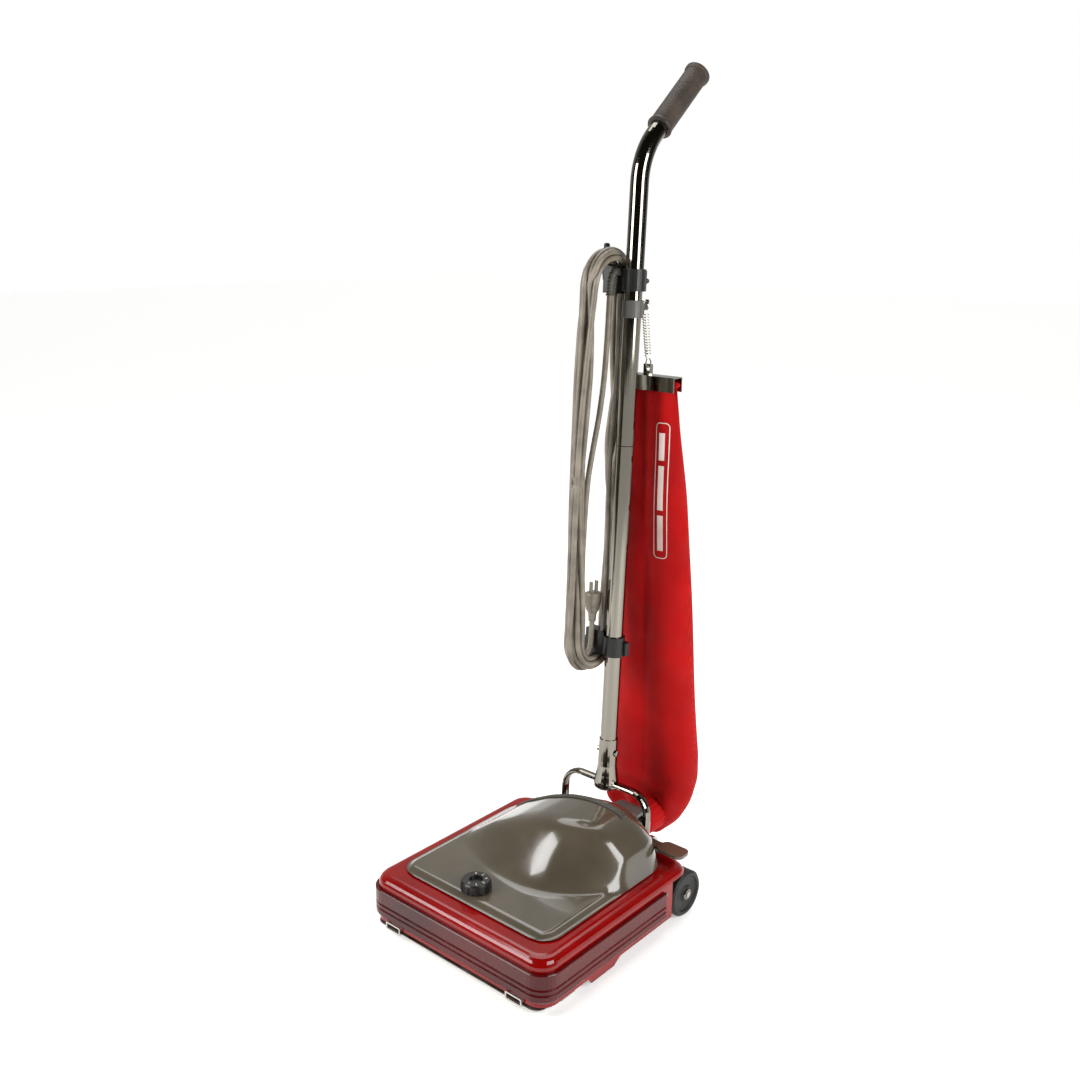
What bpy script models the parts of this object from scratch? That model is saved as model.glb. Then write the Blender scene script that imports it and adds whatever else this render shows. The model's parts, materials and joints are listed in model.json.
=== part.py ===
"""Commercial upright vacuum cleaner with a shake-out cloth bag.

The machine stands on the floor (z = 0) with its handle locked upright.
X runs across the machine, the nozzle faces -Y, the user stands at +Y.
The origin is on the floor, under the middle of the machine without its cord.
"""
import math

import bmesh
import bpy
from mathutils import Matrix, Vector

# ---------------------------------------------------------------- driving dimensions, metres
FRONT = -0.25875         # y of the furniture guard's front face
WIDTH = 0.335            # over the furniture guard
GAP = 0.0003             # between pieces that touch

GUARD_LOW = 0.025
GUARD_TOP = 0.066
GUARD_THICK = 0.0042
GUARD_END = FRONT + 0.265
CORNER = 0.030           # plan radius of the base's corners

BODY_LOW = 0.016
BODY_TOP = 0.084
BODY_WALL = 0.003
BODY_HALF = 0.1628
BODY_FRONT = FRONT + 0.0048
BODY_REAR = FRONT + 0.332
BODY_NOTCH = FRONT + 0.3185   # rear wall between the wheels, in front of the handle

AXLE_Y = FRONT + 0.3245
REAR_WHEEL_R = 0.0345
REAR_WHEEL_IN = 0.1385
REAR_WHEEL_OUT = 0.1625
AXLE_R = 0.004

ROLL_Y = FRONT + 0.046
ROLL_Z = 0.0245
ROLL_R = 0.0165
BRISTLE_R = 0.0215
ROLL_HALF = 0.134

MOTOR_Y = FRONT + 0.205
MOTOR_Z = 0.085
MOTOR_R = 0.044
SHAFT_R = 0.004
BELT_X = -0.078
PULLEY_R = 0.0065
BELT_GROOVE_R = 0.0125

PIVOT_Y = FRONT + 0.334
PIVOT_Z = 0.085
LEAN = math.radians(2.6)  # the handle leans back this much when it is locked upright
TUBE_R = 0.0127
TUBE_WALL = 0.0012
BAIL_ARM_X = 0.0785
SOCKET_TOP = 0.1413       # distances along the handle from its pivot
JOINT_TOP = 0.588
BEND_AT = 0.983
BEND_TILT = math.radians(48.8)
BEND_R = 0.090
GRIP_START = 0.052        # along the bent end, from the bend's corner
GRIP_END = 0.170
GRIP_R = 0.0167

CARRIAGE_Y = FRONT + 0.183
CARRIAGE_Z = 0.030
FRONT_AXLE_Y = FRONT + 0.118
FRONT_WHEEL_R = 0.015
KNOB_X = -0.014
KNOB_Y = FRONT + 0.066

FAN_X = 0.0475            # inner face of the fan housing
FAN_R = 0.0455

PORT_X = 0.030
PORT_Z = 0.080
PORT_R = 0.022

CORD_R = 0.004


def material(name, colour, roughness, metallic=0.0):
    mat = bpy.data.materials.get(name)
    if mat is None:
        mat = bpy.data.materials.new(name)
        mat.use_nodes = True
        shader = mat.node_tree.nodes["Principled BSDF"]
        shader.inputs["Base Color"].default_value = (*colour, 1.0)
        shader.inputs["Roughness"].default_value = roughness
        shader.inputs["Metallic"].default_value = metallic
    return mat


def red_plastic():
    return material("red_plastic", (0.42, 0.005, 0.008), 0.22)


def hood_plastic():
    return material("hood_plastic", (0.115, 0.095, 0.062), 0.25)


def black_plastic():
    return material("black_plastic", (0.012, 0.012, 0.012), 0.35)


def guard_vinyl():
    return material("guard_vinyl", (0.25, 0.02, 0.022), 0.30)


def chrome():
    return material("chrome", (0.80, 0.80, 0.78), 0.08, 1.0)


def zinc_steel():
    return material("zinc_steel", (0.45, 0.45, 0.44), 0.40, 1.0)


def black_rubber():
    return material("black_rubber", (0.015, 0.015, 0.015), 0.65)


def grip_rubber():
    return material("grip_rubber", (0.035, 0.022, 0.013), 0.60)


def bag_cloth():
    return material("bag_cloth", (0.50, 0.006, 0.010), 0.85)


def cord_vinyl():
    return material("cord_vinyl", (0.19, 0.165, 0.12), 0.50)


def motor_metal():
    return material("motor_metal", (0.50, 0.50, 0.52), 0.45, 0.9)


def beech():
    return material("beech", (0.50, 0.33, 0.18), 0.55)


# ---------------------------------------------------------------- mesh helpers
def clear_scene():
    for obj in list(bpy.data.objects):
        bpy.data.objects.remove(obj)


def add_object(name, bm, mat, smooth_angle=35.0):
    """Close up a bmesh into a named object with outward faces."""
    bmesh.ops.remove_doubles(bm, verts=bm.verts[:], dist=1e-6)
    bmesh.ops.recalc_face_normals(bm, faces=bm.faces[:])
    mesh = bpy.data.meshes.new(name)
    bm.to_mesh(mesh)
    bm.free()
    mesh.materials.append(mat)
    mesh.shade_smooth()
    mesh.set_sharp_from_angle(angle=math.radians(smooth_angle))
    obj = bpy.data.objects.new(name, mesh)
    bpy.context.scene.collection.objects.link(obj)
    return obj


def loft(rings, closed_path=False):
    """Skin a list of rings of points; the first and last are capped unless the path closes."""
    bm = bmesh.new()
    loops = [[bm.verts.new(p) for p in ring] for ring in rings]
    pairs = list(zip(loops, loops[1:]))
    if closed_path:
        pairs.append((loops[-1], loops[0]))
    for a, b in pairs:
        n = len(a)
        for i in range(n):
            j = (i + 1) % n
            bm.faces.new((a[i], a[j], b[j], b[i]))
    if not closed_path:
        bm.faces.new(loops[0])
        bm.faces.new(loops[-1])
    return bm


def lathe(profile, segments=32, closed=False):
    """Turn a profile of (radius, height) about +Z. Radius 0 at an end makes a pole."""
    bm = bmesh.new()
    rings = []
    for radius, height in profile:
        if radius < 1e-9:
            rings.append([bm.verts.new((0.0, 0.0, height))])
            continue
        ring = []
        for k in range(segments):
            a = 2.0 * math.pi * k / segments
            ring.append(bm.verts.new((radius * math.cos(a), radius * math.sin(a), height)))
        rings.append(ring)
    pairs = list(zip(rings, rings[1:]))
    if closed:
        pairs.append((rings[-1], rings[0]))
    for a, b in pairs:
        for k in range(segments):
            m = (k + 1) % segments
            corners = [a[k % len(a)], a[m % len(a)], b[m % len(b)], b[k % len(b)]]
            unique = list(dict.fromkeys(corners))
            if len(unique) > 2:
                bm.faces.new(unique)
    if not closed:
        for ring in (rings[0], rings[-1]):
            if len(ring) > 1:
                bm.faces.new(ring)
    return bm


def place(obj, location, direction=(0, 0, 1)):
    """Put an object modelled along +Z at a place, with +Z turned to a direction."""
    turn = Vector((0, 0, 1)).rotation_difference(Vector(direction).normalized())
    obj.rotation_mode = "QUATERNION"
    obj.rotation_quaternion = turn
    obj.location = location
    return obj


def turned(name, profile, mat, location, direction=(0, 0, 1), segments=32, closed=False):
    return place(add_object(name, lathe(profile, segments, closed), mat), location, direction)


def tube_profile(outer, inner, low, high, edge=0.0004):
    """Closed profile of a tube wall with small chamfers outside."""
    return [(outer, low + edge), (outer, high - edge), (outer - edge, high), (inner, high),
            (inner, low), (outer - edge, low)]


def prism(outline, low, high, axis="Z"):
    """Extrude a plan outline. axis names the direction it is extruded along."""
    def point(a, b, c):
        return {"Z": (a, b, c), "X": (c, a, b), "Y": (a, c, b)}[axis]
    return loft([[point(a, b, low) for a, b in outline], [point(a, b, high) for a, b in outline]])


def rounded_rect(x0, x1, y0, y1, radius, segments=6):
    """Counter-clockwise outline with round corners."""
    centres = [(x1 - radius, y1 - radius, 0), (x0 + radius, y1 - radius, 90),
               (x0 + radius, y0 + radius, 180), (x1 - radius, y0 + radius, 270)]
    points = []
    for cx, cy, start in centres:
        for k in range(segments + 1):
            a = math.radians(start + 90.0 * k / segments)
            points.append((cx + radius * math.cos(a), cy + radius * math.sin(a)))
    return points


def block(name, low, high, mat, radius=0.002, segments=3, axis="Z"):
    """Rounded block between two corners, its long edges rounded along one axis."""
    lo, hi = Vector(low), Vector(high)
    a, b, c = {"Z": (0, 1, 2), "X": (1, 2, 0), "Y": (0, 2, 1)}[axis]
    outline = rounded_rect(lo[a], hi[a], lo[b], hi[b], radius, segments)
    return add_object(name, prism(outline, lo[c], hi[c], axis), mat)


def sweep(path, radius, sides=12, inner=0.0, squash=1.0, squash_dir=(1, 0, 0)):
    """Round section along a path of points; radius may be a list. inner > 0 makes a tube wall."""
    radii = radius if isinstance(radius, (list, tuple)) else [radius] * len(path)
    points = [Vector(p) for p in path]
    tangents = []
    for i in range(len(points)):
        before = points[max(i - 1, 0)]
        after = points[min(i + 1, len(points) - 1)]
        tangents.append((after - before).normalized())
    side = Vector((1, 0, 0))
    if abs(tangents[0].x) > 0.9:
        side = Vector((0, 1, 0))
    wide = Vector(squash_dir)
    outer_rings = []
    inner_rings = []
    for centre, tangent, r in zip(points, tangents, radii):
        side = (side - tangent * side.dot(tangent)).normalized()
        up = tangent.cross(side)
        ring = []
        hole = []
        for k in range(sides):
            a = 2.0 * math.pi * k / sides
            offset = side * math.cos(a) + up * math.sin(a)
            offset = offset + wide * offset.dot(wide) * (squash - 1.0)
            ring.append(centre + offset * r)
            hole.append(centre + offset * (r - inner))
        outer_rings.append(ring)
        inner_rings.append(hole)
    if inner <= 0.0:
        return loft(outer_rings)
    return loft(outer_rings + inner_rings[::-1], closed_path=True)


def cut(obj, cutter, operation="DIFFERENCE"):
    """Apply a Boolean and remove the cutter."""
    cutter.hide_render = True
    cutter.display_type = "WIRE"
    mod = obj.modifiers.new(operation.lower(), "BOOLEAN")
    mod.operation = operation
    mod.object = cutter
    mod.solver = "EXACT"
    bpy.context.view_layer.update()
    evaluated = obj.evaluated_get(bpy.context.evaluated_depsgraph_get())
    mesh = bpy.data.meshes.new_from_object(evaluated)
    old = obj.data
    obj.modifiers.remove(mod)
    obj.data = mesh
    bpy.data.meshes.remove(old)
    bpy.data.objects.remove(cutter)
    return obj


def cylinder_cutter(location, direction, radius, length, segments=24):
    profile = [(radius, -length / 2), (radius, length / 2)]
    return turned("cutter", profile, black_plastic(), location, direction, segments)


def box_cutter(low, high):
    return block("cutter", low, high, black_plastic(), radius=0.0005, segments=1)


# ---------------------------------------------------------------- the handle's own directions
ALONG = Vector((0.0, math.sin(LEAN), math.cos(LEAN)))
BEHIND = Vector((0.0, math.cos(LEAN), -math.sin(LEAN)))
PIVOT = Vector((0.0, PIVOT_Y, PIVOT_Z))


def on_handle(s, x=0.0, t=0.0):
    """Point at s along the handle from its pivot, x to the side and t behind its axis."""
    return PIVOT + ALONG * s + BEHIND * t + Vector((x, 0.0, 0.0))


def handle_prism(name, outline_xt, low, high, mat):
    """Outline in (x, t) extruded along the handle between two distances."""
    rings = [[on_handle(s, x, t) for x, t in outline_xt] for s in (low, high)]
    return add_object(name, loft(rings), mat)


def handle_ring(name, outer, inner, low, high, mat, segments=28):
    profile = tube_profile(outer, inner, 0.0, high - low)
    return turned(name, profile, mat, on_handle(low), ALONG, segments, closed=True)


# ---------------------------------------------------------------- the hood's surface
HOOD_FRONT = FRONT + 0.036
HOOD_REAR = FRONT + 0.317
HOOD_HALF = 0.140
HOOD_CORNER = 0.030
HOOD_REAR_R = 0.055
HOOD_EDGE = 0.0864
HOOD_DECK = 0.092
DOME_TOP = 0.166
BAND_Y = FRONT + 0.256


def smooth(value):
    value = min(max(value, 0.0), 1.0)
    return value * value * (3.0 - 2.0 * value)


def hood_half_width(y):
    half = HOOD_HALF
    front = y - HOOD_FRONT
    if front < HOOD_CORNER:
        half = HOOD_HALF - HOOD_CORNER + math.sqrt(max(0.0, HOOD_CORNER ** 2 - (HOOD_CORNER - front) ** 2))
    rear = HOOD_REAR - y
    if rear < HOOD_REAR_R:
        half = HOOD_HALF - HOOD_REAR_R + math.sqrt(max(0.0, HOOD_REAR_R ** 2 - (HOOD_REAR_R - rear) ** 2))
    return half


HOOD_RISE = [(-0.1400, 0.0), (-0.1240, 0.04), (-0.0870, 0.38), (-0.0460, 0.66), (-0.0060, 0.86),
             (0.0310, 0.98), (0.0545, 1.0), (0.0800, 0.95), (0.1050, 0.76), (0.1260, 0.47), (0.1400, 0.0)]


def hood_arch(x):
    """Share of the dome's rise at x across its highest section; the dome leans to the fan's side."""
    for (x0, rise0), (x1, rise1) in zip(HOOD_RISE, HOOD_RISE[1:]):
        if x <= x1:
            return rise0 + (rise1 - rise0) * min(max((x - x0) / (x1 - x0), 0.0), 1.0)
    return 0.0


def hood_height(x, y):
    """Top surface: a low deck in front, rising to a dome that is steep on the right."""
    half = hood_half_width(y)
    inward = min(half - abs(x), y - HOOD_FRONT)
    deck = HOOD_EDGE + (HOOD_DECK - HOOD_EDGE) * smooth(inward / 0.016)
    across = x * HOOD_HALF / half
    spread = 0.067 * (max(across - 0.03, 0.0) / 0.096) ** 2 + 0.050 * (max(0.03 - across, 0.0) / 0.16) ** 2
    front = smooth((y - FRONT - 0.098 - spread) / 0.105)
    soft = 0.06
    rise = -soft * math.log(math.exp(-hood_arch(across) / soft) + math.exp(-front / soft))
    rear_fall = 0.030 * smooth((y - FRONT - 0.250) / 0.075) ** 1.5
    return deck + (DOME_TOP - HOOD_DECK - rear_fall) * max(rise, 0.0) / 0.96


def hood_grid(drop, inset, columns=22, rows=22):
    """Grid of the hood's surface; its lining is the same grid drawn in by inset and lowered by drop."""
    grid = []
    for r in range(rows + 1):
        y = HOOD_FRONT + (HOOD_REAR - HOOD_FRONT) * r / rows
        half = hood_half_width(y)
        row = []
        for c in range(columns + 1):
            x = half * (2.0 * c / columns - 1.0)
            z = max(hood_height(x, y) - drop, BODY_TOP + GAP)
            row.append((x * (half - inset) / half, y + inset * (1.0 - r / rows), z))
        grid.append(row)
    return grid


def shell_between(top, bottom):
    """Closed solid between two grids of the same size."""
    bm = bmesh.new()
    upper = [[bm.verts.new(p) for p in row] for row in top]
    lower = [[bm.verts.new(p) for p in row] for row in bottom]
    rows = len(top)
    cols = len(top[0])
    for grid in (upper, lower):
        for r in range(rows - 1):
            for c in range(cols - 1):
                bm.faces.new((grid[r][c], grid[r][c + 1], grid[r + 1][c + 1], grid[r + 1][c]))
    rim = [(0, c) for c in range(cols)] + [(r, cols - 1) for r in range(1, rows)]
    rim += [(rows - 1, c) for c in range(cols - 2, -1, -1)] + [(r, 0) for r in range(rows - 2, 0, -1)]
    for (r0, c0), (r1, c1) in zip(rim, rim[1:] + rim[:1]):
        bm.faces.new((upper[r0][c0], upper[r1][c1], lower[r1][c1], lower[r0][c0]))
    return bm


# ---------------------------------------------------------------- base: shells
def base_housing():
    """Moulded body: a shell open below, with a deck opening under the hood and wheel wells behind."""
    def outline(inset):
        return rounded_rect(-BODY_HALF + inset, BODY_HALF - inset, BODY_FRONT + inset, BODY_REAR - inset,
                            CORNER - 0.004 - inset * 0.4, 8)
    shoulder = 0.014
    rings = [[(x, y, BODY_LOW) for x, y in outline(0.0)]]
    for k in range(7):
        a = math.radians(90.0 * k / 6)
        inset = shoulder * (1.0 - math.cos(a))
        z = BODY_TOP - shoulder + shoulder * math.sin(a)
        rings.append([(x, y, z) for x, y in outline(inset)])
    body = add_object("base_housing", loft(rings), red_plastic())
    inner_half = BODY_HALF - BODY_WALL
    front_room = prism(rounded_rect(-inner_half, inner_half, BODY_FRONT + BODY_WALL, FRONT + 0.280, 0.022,
                                    5),
                       BODY_LOW - 0.01, BODY_TOP - 0.014)
    cut(body, add_object("cutter", front_room, black_plastic()))
    upper_room = prism(rounded_rect(-inner_half + 0.011, inner_half - 0.011, BODY_FRONT + 0.014,
                                    FRONT + 0.2795,
                                    0.015, 4), BODY_TOP - 0.015, BODY_TOP - BODY_WALL)
    cut(body, add_object("cutter", upper_room, black_plastic()))
    rear_room = prism(rounded_rect(-0.1305, 0.1305, FRONT + 0.270, BODY_NOTCH - BODY_WALL, 0.006, 3),
                      BODY_LOW - 0.01, BODY_TOP - BODY_WALL - 0.0006)
    cut(body, add_object("cutter", rear_room, black_plastic()))
    deck = prism(rounded_rect(-0.122, 0.122, FRONT + 0.100, FRONT + 0.3055, 0.012, 4), BODY_TOP - 0.012,
                 BODY_TOP + 0.01)
    cut(body, add_object("cutter", deck, black_plastic()))
    for side in (-1, 1):
        x0, x1 = sorted((side * (REAR_WHEEL_IN - 0.003), side * 0.20))
        cut(body, box_cutter((x0, FRONT + 0.2855, -0.01), (x1, FRONT + 0.40, 0.0722)))
    cut(body, box_cutter((-0.100, BODY_NOTCH, -0.01), (0.100, FRONT + 0.40, 0.12)))
    cut(body, cylinder_cutter((0, AXLE_Y, REAR_WHEEL_R), (1, 0, 0), AXLE_R + GAP, 0.34, 20))
    cut(body, cylinder_cutter((KNOB_X, KNOB_Y, BODY_TOP), (0, 0, 1), 0.0052, 0.03, 20))
    cut(body, cylinder_cutter((PORT_X, BODY_NOTCH, PORT_Z), (0, 1, 0), PORT_R + 0.0015, 0.034, 28))
    for side in (-1, 1):
        outline_yz = [(FRONT + 0.094, BODY_LOW + 0.004), (FRONT + 0.102, 0.007), (FRONT + 0.150, 0.007),
                      (FRONT + 0.172, BODY_LOW + 0.004)]
        x0, x1 = sorted((side * (BODY_HALF - BODY_WALL), side * BODY_HALF))
        cut(body, add_object("cutter", prism(outline_yz, x0, x1, "X"), black_plastic()), "UNION")
    return body


def furniture_guard():
    """Vinyl strip round the front and both sides, ribbed along its length."""
    section = [(0.0, GUARD_TOP - 0.001), (0.0008, GUARD_TOP), (GUARD_THICK, GUARD_TOP),
               (GUARD_THICK, GUARD_LOW), (0.0012, GUARD_LOW), (0.0, GUARD_LOW + 0.002),
               (0.0, 0.0345), (0.0010, 0.0365), (0.0, 0.0385), (0.0, 0.0425), (0.0010, 0.0445),
               (0.0, 0.0465)]

    def path(inset):
        half = WIDTH / 2 - inset
        radius = CORNER - inset
        points = [(half, GUARD_END), (half, FRONT + 0.15)]
        for side, start in ((1, 0), (-1, 270)):
            cx = side * (half - radius)
            for k in range(9):
                a = math.radians(start - 90.0 * k / 8)
                points.append((cx + radius * math.cos(a), FRONT + inset + radius + radius * math.sin(a)))
        points += [(-half, FRONT + 0.15), (-half, GUARD_END)]
        return points
    lines = [path(inset) for inset, _ in section]
    rings = []
    for i in range(len(lines[0])):
        rings.append([(lines[k][i][0], lines[k][i][1], section[k][1]) for k in range(len(section))])
    return add_object("furniture_guard", loft(rings), guard_vinyl())


def base_plate():
    """Steel plate under the nozzle with the suction mouth, a runner pad at each side."""
    outline = rounded_rect(-0.155, 0.155, FRONT + 0.003, FRONT + 0.092, 0.016, 6)
    plate = add_object("base_plate", prism(outline, 0.0108, 0.0124), zinc_steel())
    for side in (-1, 1):
        pad = [(FRONT + 0.044, 0.0115), (FRONT + 0.050, 0.0035), (FRONT + 0.078, 0.0035),
               (FRONT + 0.084, 0.0115)]
        x0, x1 = sorted((side * 0.1415, side * 0.1540))
        cut(plate, add_object("cutter", prism(pad, x0, x1, "X"), black_plastic()), "UNION")
    cut(plate, box_cutter((-0.137, FRONT + 0.019, 0.0), (0.137, FRONT + 0.074, 0.03)))
    return plate


def plate_clip(side):
    """Wire clip that hooks the front of the base plate to the housing."""
    x0 = side * 0.1145
    outer = rounded_rect(x0 - 0.0145, x0 + 0.0145, 0.0098, 0.0218, 0.002, 2)
    inner = rounded_rect(x0 - 0.0120, x0 + 0.0120, 0.0123, 0.0193, 0.001, 2)
    rings = [[(x, y, z) for x, z in ring] for ring, y in
             ((outer, FRONT + 0.0004), (outer, FRONT + 0.0024), (inner, FRONT + 0.0024),
              (inner, FRONT + 0.0004))]
    name = "plate_clip_right" if side > 0 else "plate_clip_left"
    return add_object(name, loft(rings, closed_path=True), zinc_steel())


def motor_pan():
    """Flat cover under the motor with two lugs that the carriage's hinge rod turns in."""
    outline = rounded_rect(-0.127, 0.127, CARRIAGE_Y - 0.008, FRONT + 0.313, 0.006, 3)
    pan = add_object("motor_pan", prism(outline, 0.0128, 0.0155), black_plastic())
    for side in (-1, 1):
        x0, x1 = sorted((side * 0.0550, side * 0.0620))
        lug = [(CARRIAGE_Y - 0.0070, 0.0145), (CARRIAGE_Y + 0.0110, 0.0145), (CARRIAGE_Y + 0.0075, 0.0335),
               (CARRIAGE_Y + 0.0040, 0.0380), (CARRIAGE_Y - 0.0040, 0.0380), (CARRIAGE_Y - 0.0070, 0.0335)]
        cut(pan, add_object("cutter", prism(lug, x0, x1, "X"), black_plastic()), "UNION")
        cut(pan, cylinder_cutter((side * 0.0585, CARRIAGE_Y, CARRIAGE_Z), (1, 0, 0), 0.005 + GAP, 0.012, 16))
    return pan


def motor_hood():
    top = hood_grid(0.0, 0.0)
    bottom = hood_grid(0.0026, 0.0024)
    hood = add_object("motor_hood", shell_between(top, bottom), hood_plastic())
    cut(hood, cylinder_cutter((KNOB_X, KNOB_Y, HOOD_DECK), (0, 0, 1), 0.0052, 0.03, 20))
    cut(hood, box_cutter((PEDAL_X - 0.0095, PEDAL_Y - 0.0105, 0.07), (0.16, PEDAL_Y + 0.03, 0.14)))
    return hood


def hood_trim_band():
    """Ribbed strip arching over the dome."""
    columns = 28
    rows = 2
    width = 0.012
    top = []
    bottom = []
    for r in range(rows + 1):
        y = BAND_Y + width * r / rows
        line = [(-0.112 + 0.204 * c / columns) for c in range(columns + 1)]
        top.append([(x, y, hood_height(x, y) + 0.0026) for x in line])
        bottom.append([(x, y, hood_height(x, y) + 0.0008) for x in line])
    return add_object("hood_trim_band", shell_between(top, bottom), black_plastic())


# ---------------------------------------------------------------- base: motor, fan and air path
def motor_housing():
    half = 0.050
    profile = [(0.0405, -half + 0.0025), (0.0405, half - 0.0025), (0.0060, half - 0.0025), (0.0060, half),
               (MOTOR_R - 0.003, half), (MOTOR_R, half - 0.003), (MOTOR_R, -half + 0.003),
               (MOTOR_R - 0.003, -half), (0.0060, -half), (0.0060, -half + 0.0025)]
    return turned("motor_housing", profile, motor_metal(), (-0.006, MOTOR_Y, MOTOR_Z), (1, 0, 0), 28,
                  closed=True)


def motor_armature():
    """Shaft with the wound core and the commutator, along +X."""
    core = 0.034
    profile = [(0.0, -0.090), (SHAFT_R, -0.090), (SHAFT_R, -0.040), (0.012, -0.039), (0.026, -0.034),
               (core, -0.028), (core, 0.014), (0.026, 0.020), (0.012, 0.024), (0.012, 0.036),
               (SHAFT_R, 0.0365), (SHAFT_R, FAN_X + 0.024), (0.0, FAN_X + 0.024)]
    return turned("motor_armature", profile, motor_metal(), (0, MOTOR_Y, MOTOR_Z), (1, 0, 0), 24)


def motor_pulley():
    bore = SHAFT_R + GAP
    profile = [(bore, -0.0075), (0.0090, -0.0075), (0.0090, -0.0055), (PULLEY_R, -0.0045),
               (PULLEY_R, 0.0045),
               (0.0090, 0.0055), (0.0090, 0.0075), (bore, 0.0075)]
    return turned("motor_pulley", profile, zinc_steel(), (BELT_X, MOTOR_Y, MOTOR_Z), (1, 0, 0), 24,
                  closed=True)


def fan_impeller():
    """Disc with six swept blades on the motor shaft."""
    bore = SHAFT_R + GAP
    disc = [(bore, 0.0), (0.039, 0.0), (0.039, 0.002), (0.011, 0.0025), (0.011, 0.014), (bore, 0.014)]
    fan = add_object("fan_impeller", lathe(disc, 30, closed=True), black_plastic())
    for k in range(6):
        blade = rounded_rect(0.0095, 0.0370, -0.001, 0.001, 0.0005, 1)
        turn = Matrix.Rotation(math.radians(60 * k), 2)
        lean = [(x, y + 0.16 * (x - 0.0095) + 3.0 * (x - 0.0095) ** 2) for x, y in blade]
        points = [tuple(turn @ Vector(p)) for p in lean]
        cut(fan, add_object("cutter", prism(points, 0.0012, 0.0135), black_plastic()), "UNION")
    return place(fan, (FAN_X + 0.0065, MOTOR_Y, MOTOR_Z), (1, 0, 0))


def fan_housing():
    """Scroll round the fan with its inlet on the outer side and an outlet towards the back."""
    r = FAN_R
    profile = [(0.0060, 0.0), (r - 0.0025, 0.0), (r, 0.0025), (r, 0.0285), (r - 0.0025, 0.0310),
               (0.0180, 0.0310), (0.0180, 0.0290), (r - 0.0045, 0.0290), (r - 0.0025, 0.0270),
               (r - 0.0025, 0.0040),
               (r - 0.0045, 0.0020), (0.0060, 0.0020)]
    scroll = turned("fan_housing", profile, black_plastic(), (FAN_X, MOTOR_Y, MOTOR_Z), (1, 0, 0), 32,
                    closed=True)
    cut(scroll, box_cutter((FAN_X + 0.0045, MOTOR_Y + 0.020, MOTOR_Z - 0.014),
                           (FAN_X + 0.0265, MOTOR_Y + 0.060, MOTOR_Z + 0.014)))
    return scroll


def duct_ring(centre, half_x, half_z, roundness, sides=24):
    points = []
    power = 2.0 / roundness
    for k in range(sides):
        a = 2.0 * math.pi * k / sides
        c, s = math.cos(a), math.sin(a)
        x = half_x * math.copysign(abs(c) ** power, c)
        z = half_z * math.copysign(abs(s) ** power, s)
        points.append((centre[0] + x, centre[1], centre[2] + z))
    return points


def exhaust_duct():
    """Duct from the fan housing to the port that the bag's connector fits."""
    start_y = MOTOR_Y + FAN_R + GAP
    stations = [(start_y, FAN_X + 0.0155, MOTOR_Z, 0.0125, 0.0155, 4.0),
                (start_y + 0.016, FAN_X + 0.0120, MOTOR_Z, 0.0140, 0.0160, 3.6),
                (start_y + 0.033, 0.042, PORT_Z + 0.002, 0.0170, 0.0175, 3.0),
                (start_y + 0.046, 0.033, PORT_Z, 0.0190, 0.0190, 2.3),
                (start_y + 0.056, PORT_X, PORT_Z, 0.0200, 0.0200, 2.0),
                (FRONT + 0.3555, PORT_X, PORT_Z, 0.0200, 0.0200, 2.0)]
    wall = 0.0016
    outer = [duct_ring((x, y, z), a, b, r) for y, x, z, a, b, r in stations]
    inner = [duct_ring((x, y, z), a - wall, b - wall, r) for y, x, z, a, b, r in stations]
    return add_object("exhaust_duct", loft(outer + inner[::-1], closed_path=True), black_plastic())


def bag_connector():
    """Collar that joins the bag's mouth to the exhaust port."""
    inner = 0.0204
    profile = [(inner, 0.0), (0.0235, 0.0), (0.0235, 0.020), (0.0275, 0.022), (0.0275, 0.026),
               (inner, 0.026)]
    return turned("bag_connector", profile, black_plastic(), (PORT_X, FRONT + 0.3450, PORT_Z), (0, 1, 0), 28,
                  closed=True)


def drive_belt():
    """Flat belt round the motor pulley and the brush roll, a little clear of both."""
    thick = 0.0016
    small = PULLEY_R + GAP
    large = BELT_GROOVE_R + GAP
    span = Vector((ROLL_Y - MOTOR_Y, ROLL_Z - MOTOR_Z))
    base = math.atan2(span.y, span.x)
    tilt = math.acos((small - large) / span.length)

    def loop(extra):
        points = []
        for centre, radius, start, end in (((ROLL_Y, ROLL_Z), large + extra, base - tilt, base + tilt),
                                           ((MOTOR_Y, MOTOR_Z), small + extra, base + tilt,
                                            base - tilt + 2.0 * math.pi)):
            for k in range(13):
                a = start + (end - start) * k / 12
                points.append((centre[0] + radius * math.cos(a), centre[1] + radius * math.sin(a)))
        return points
    x0, x1 = BELT_X - 0.0038, BELT_X + 0.0038
    rings = [[(x, y, z) for y, z in ring] for x, ring in
             ((x0, loop(thick)), (x1, loop(thick)), (x1, loop(0.0)), (x0, loop(0.0)))]
    return add_object("drive_belt", loft(rings, closed_path=True), black_rubber())


# ---------------------------------------------------------------- base: brush roll
def brush_roll():
    """Beech roll with a belt groove and steel end pins."""
    pin = 0.0040
    grooves = [(-ROLL_HALF - 0.010, 0.0), (-ROLL_HALF - 0.010, pin), (-ROLL_HALF, pin), (-ROLL_HALF, ROLL_R),
               (BELT_X - 0.0070, ROLL_R), (BELT_X - 0.0060, BELT_GROOVE_R), (BELT_X + 0.0060, BELT_GROOVE_R),
               (BELT_X + 0.0070, ROLL_R), (ROLL_HALF, ROLL_R), (ROLL_HALF, pin), (ROLL_HALF + 0.010, pin),
               (ROLL_HALF + 0.010, 0.0)]
    profile = [(radius, x) for x, radius in grooves]
    return turned("brush_roll", profile, beech(), (0, ROLL_Y, ROLL_Z), (1, 0, 0), 28)


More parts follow.
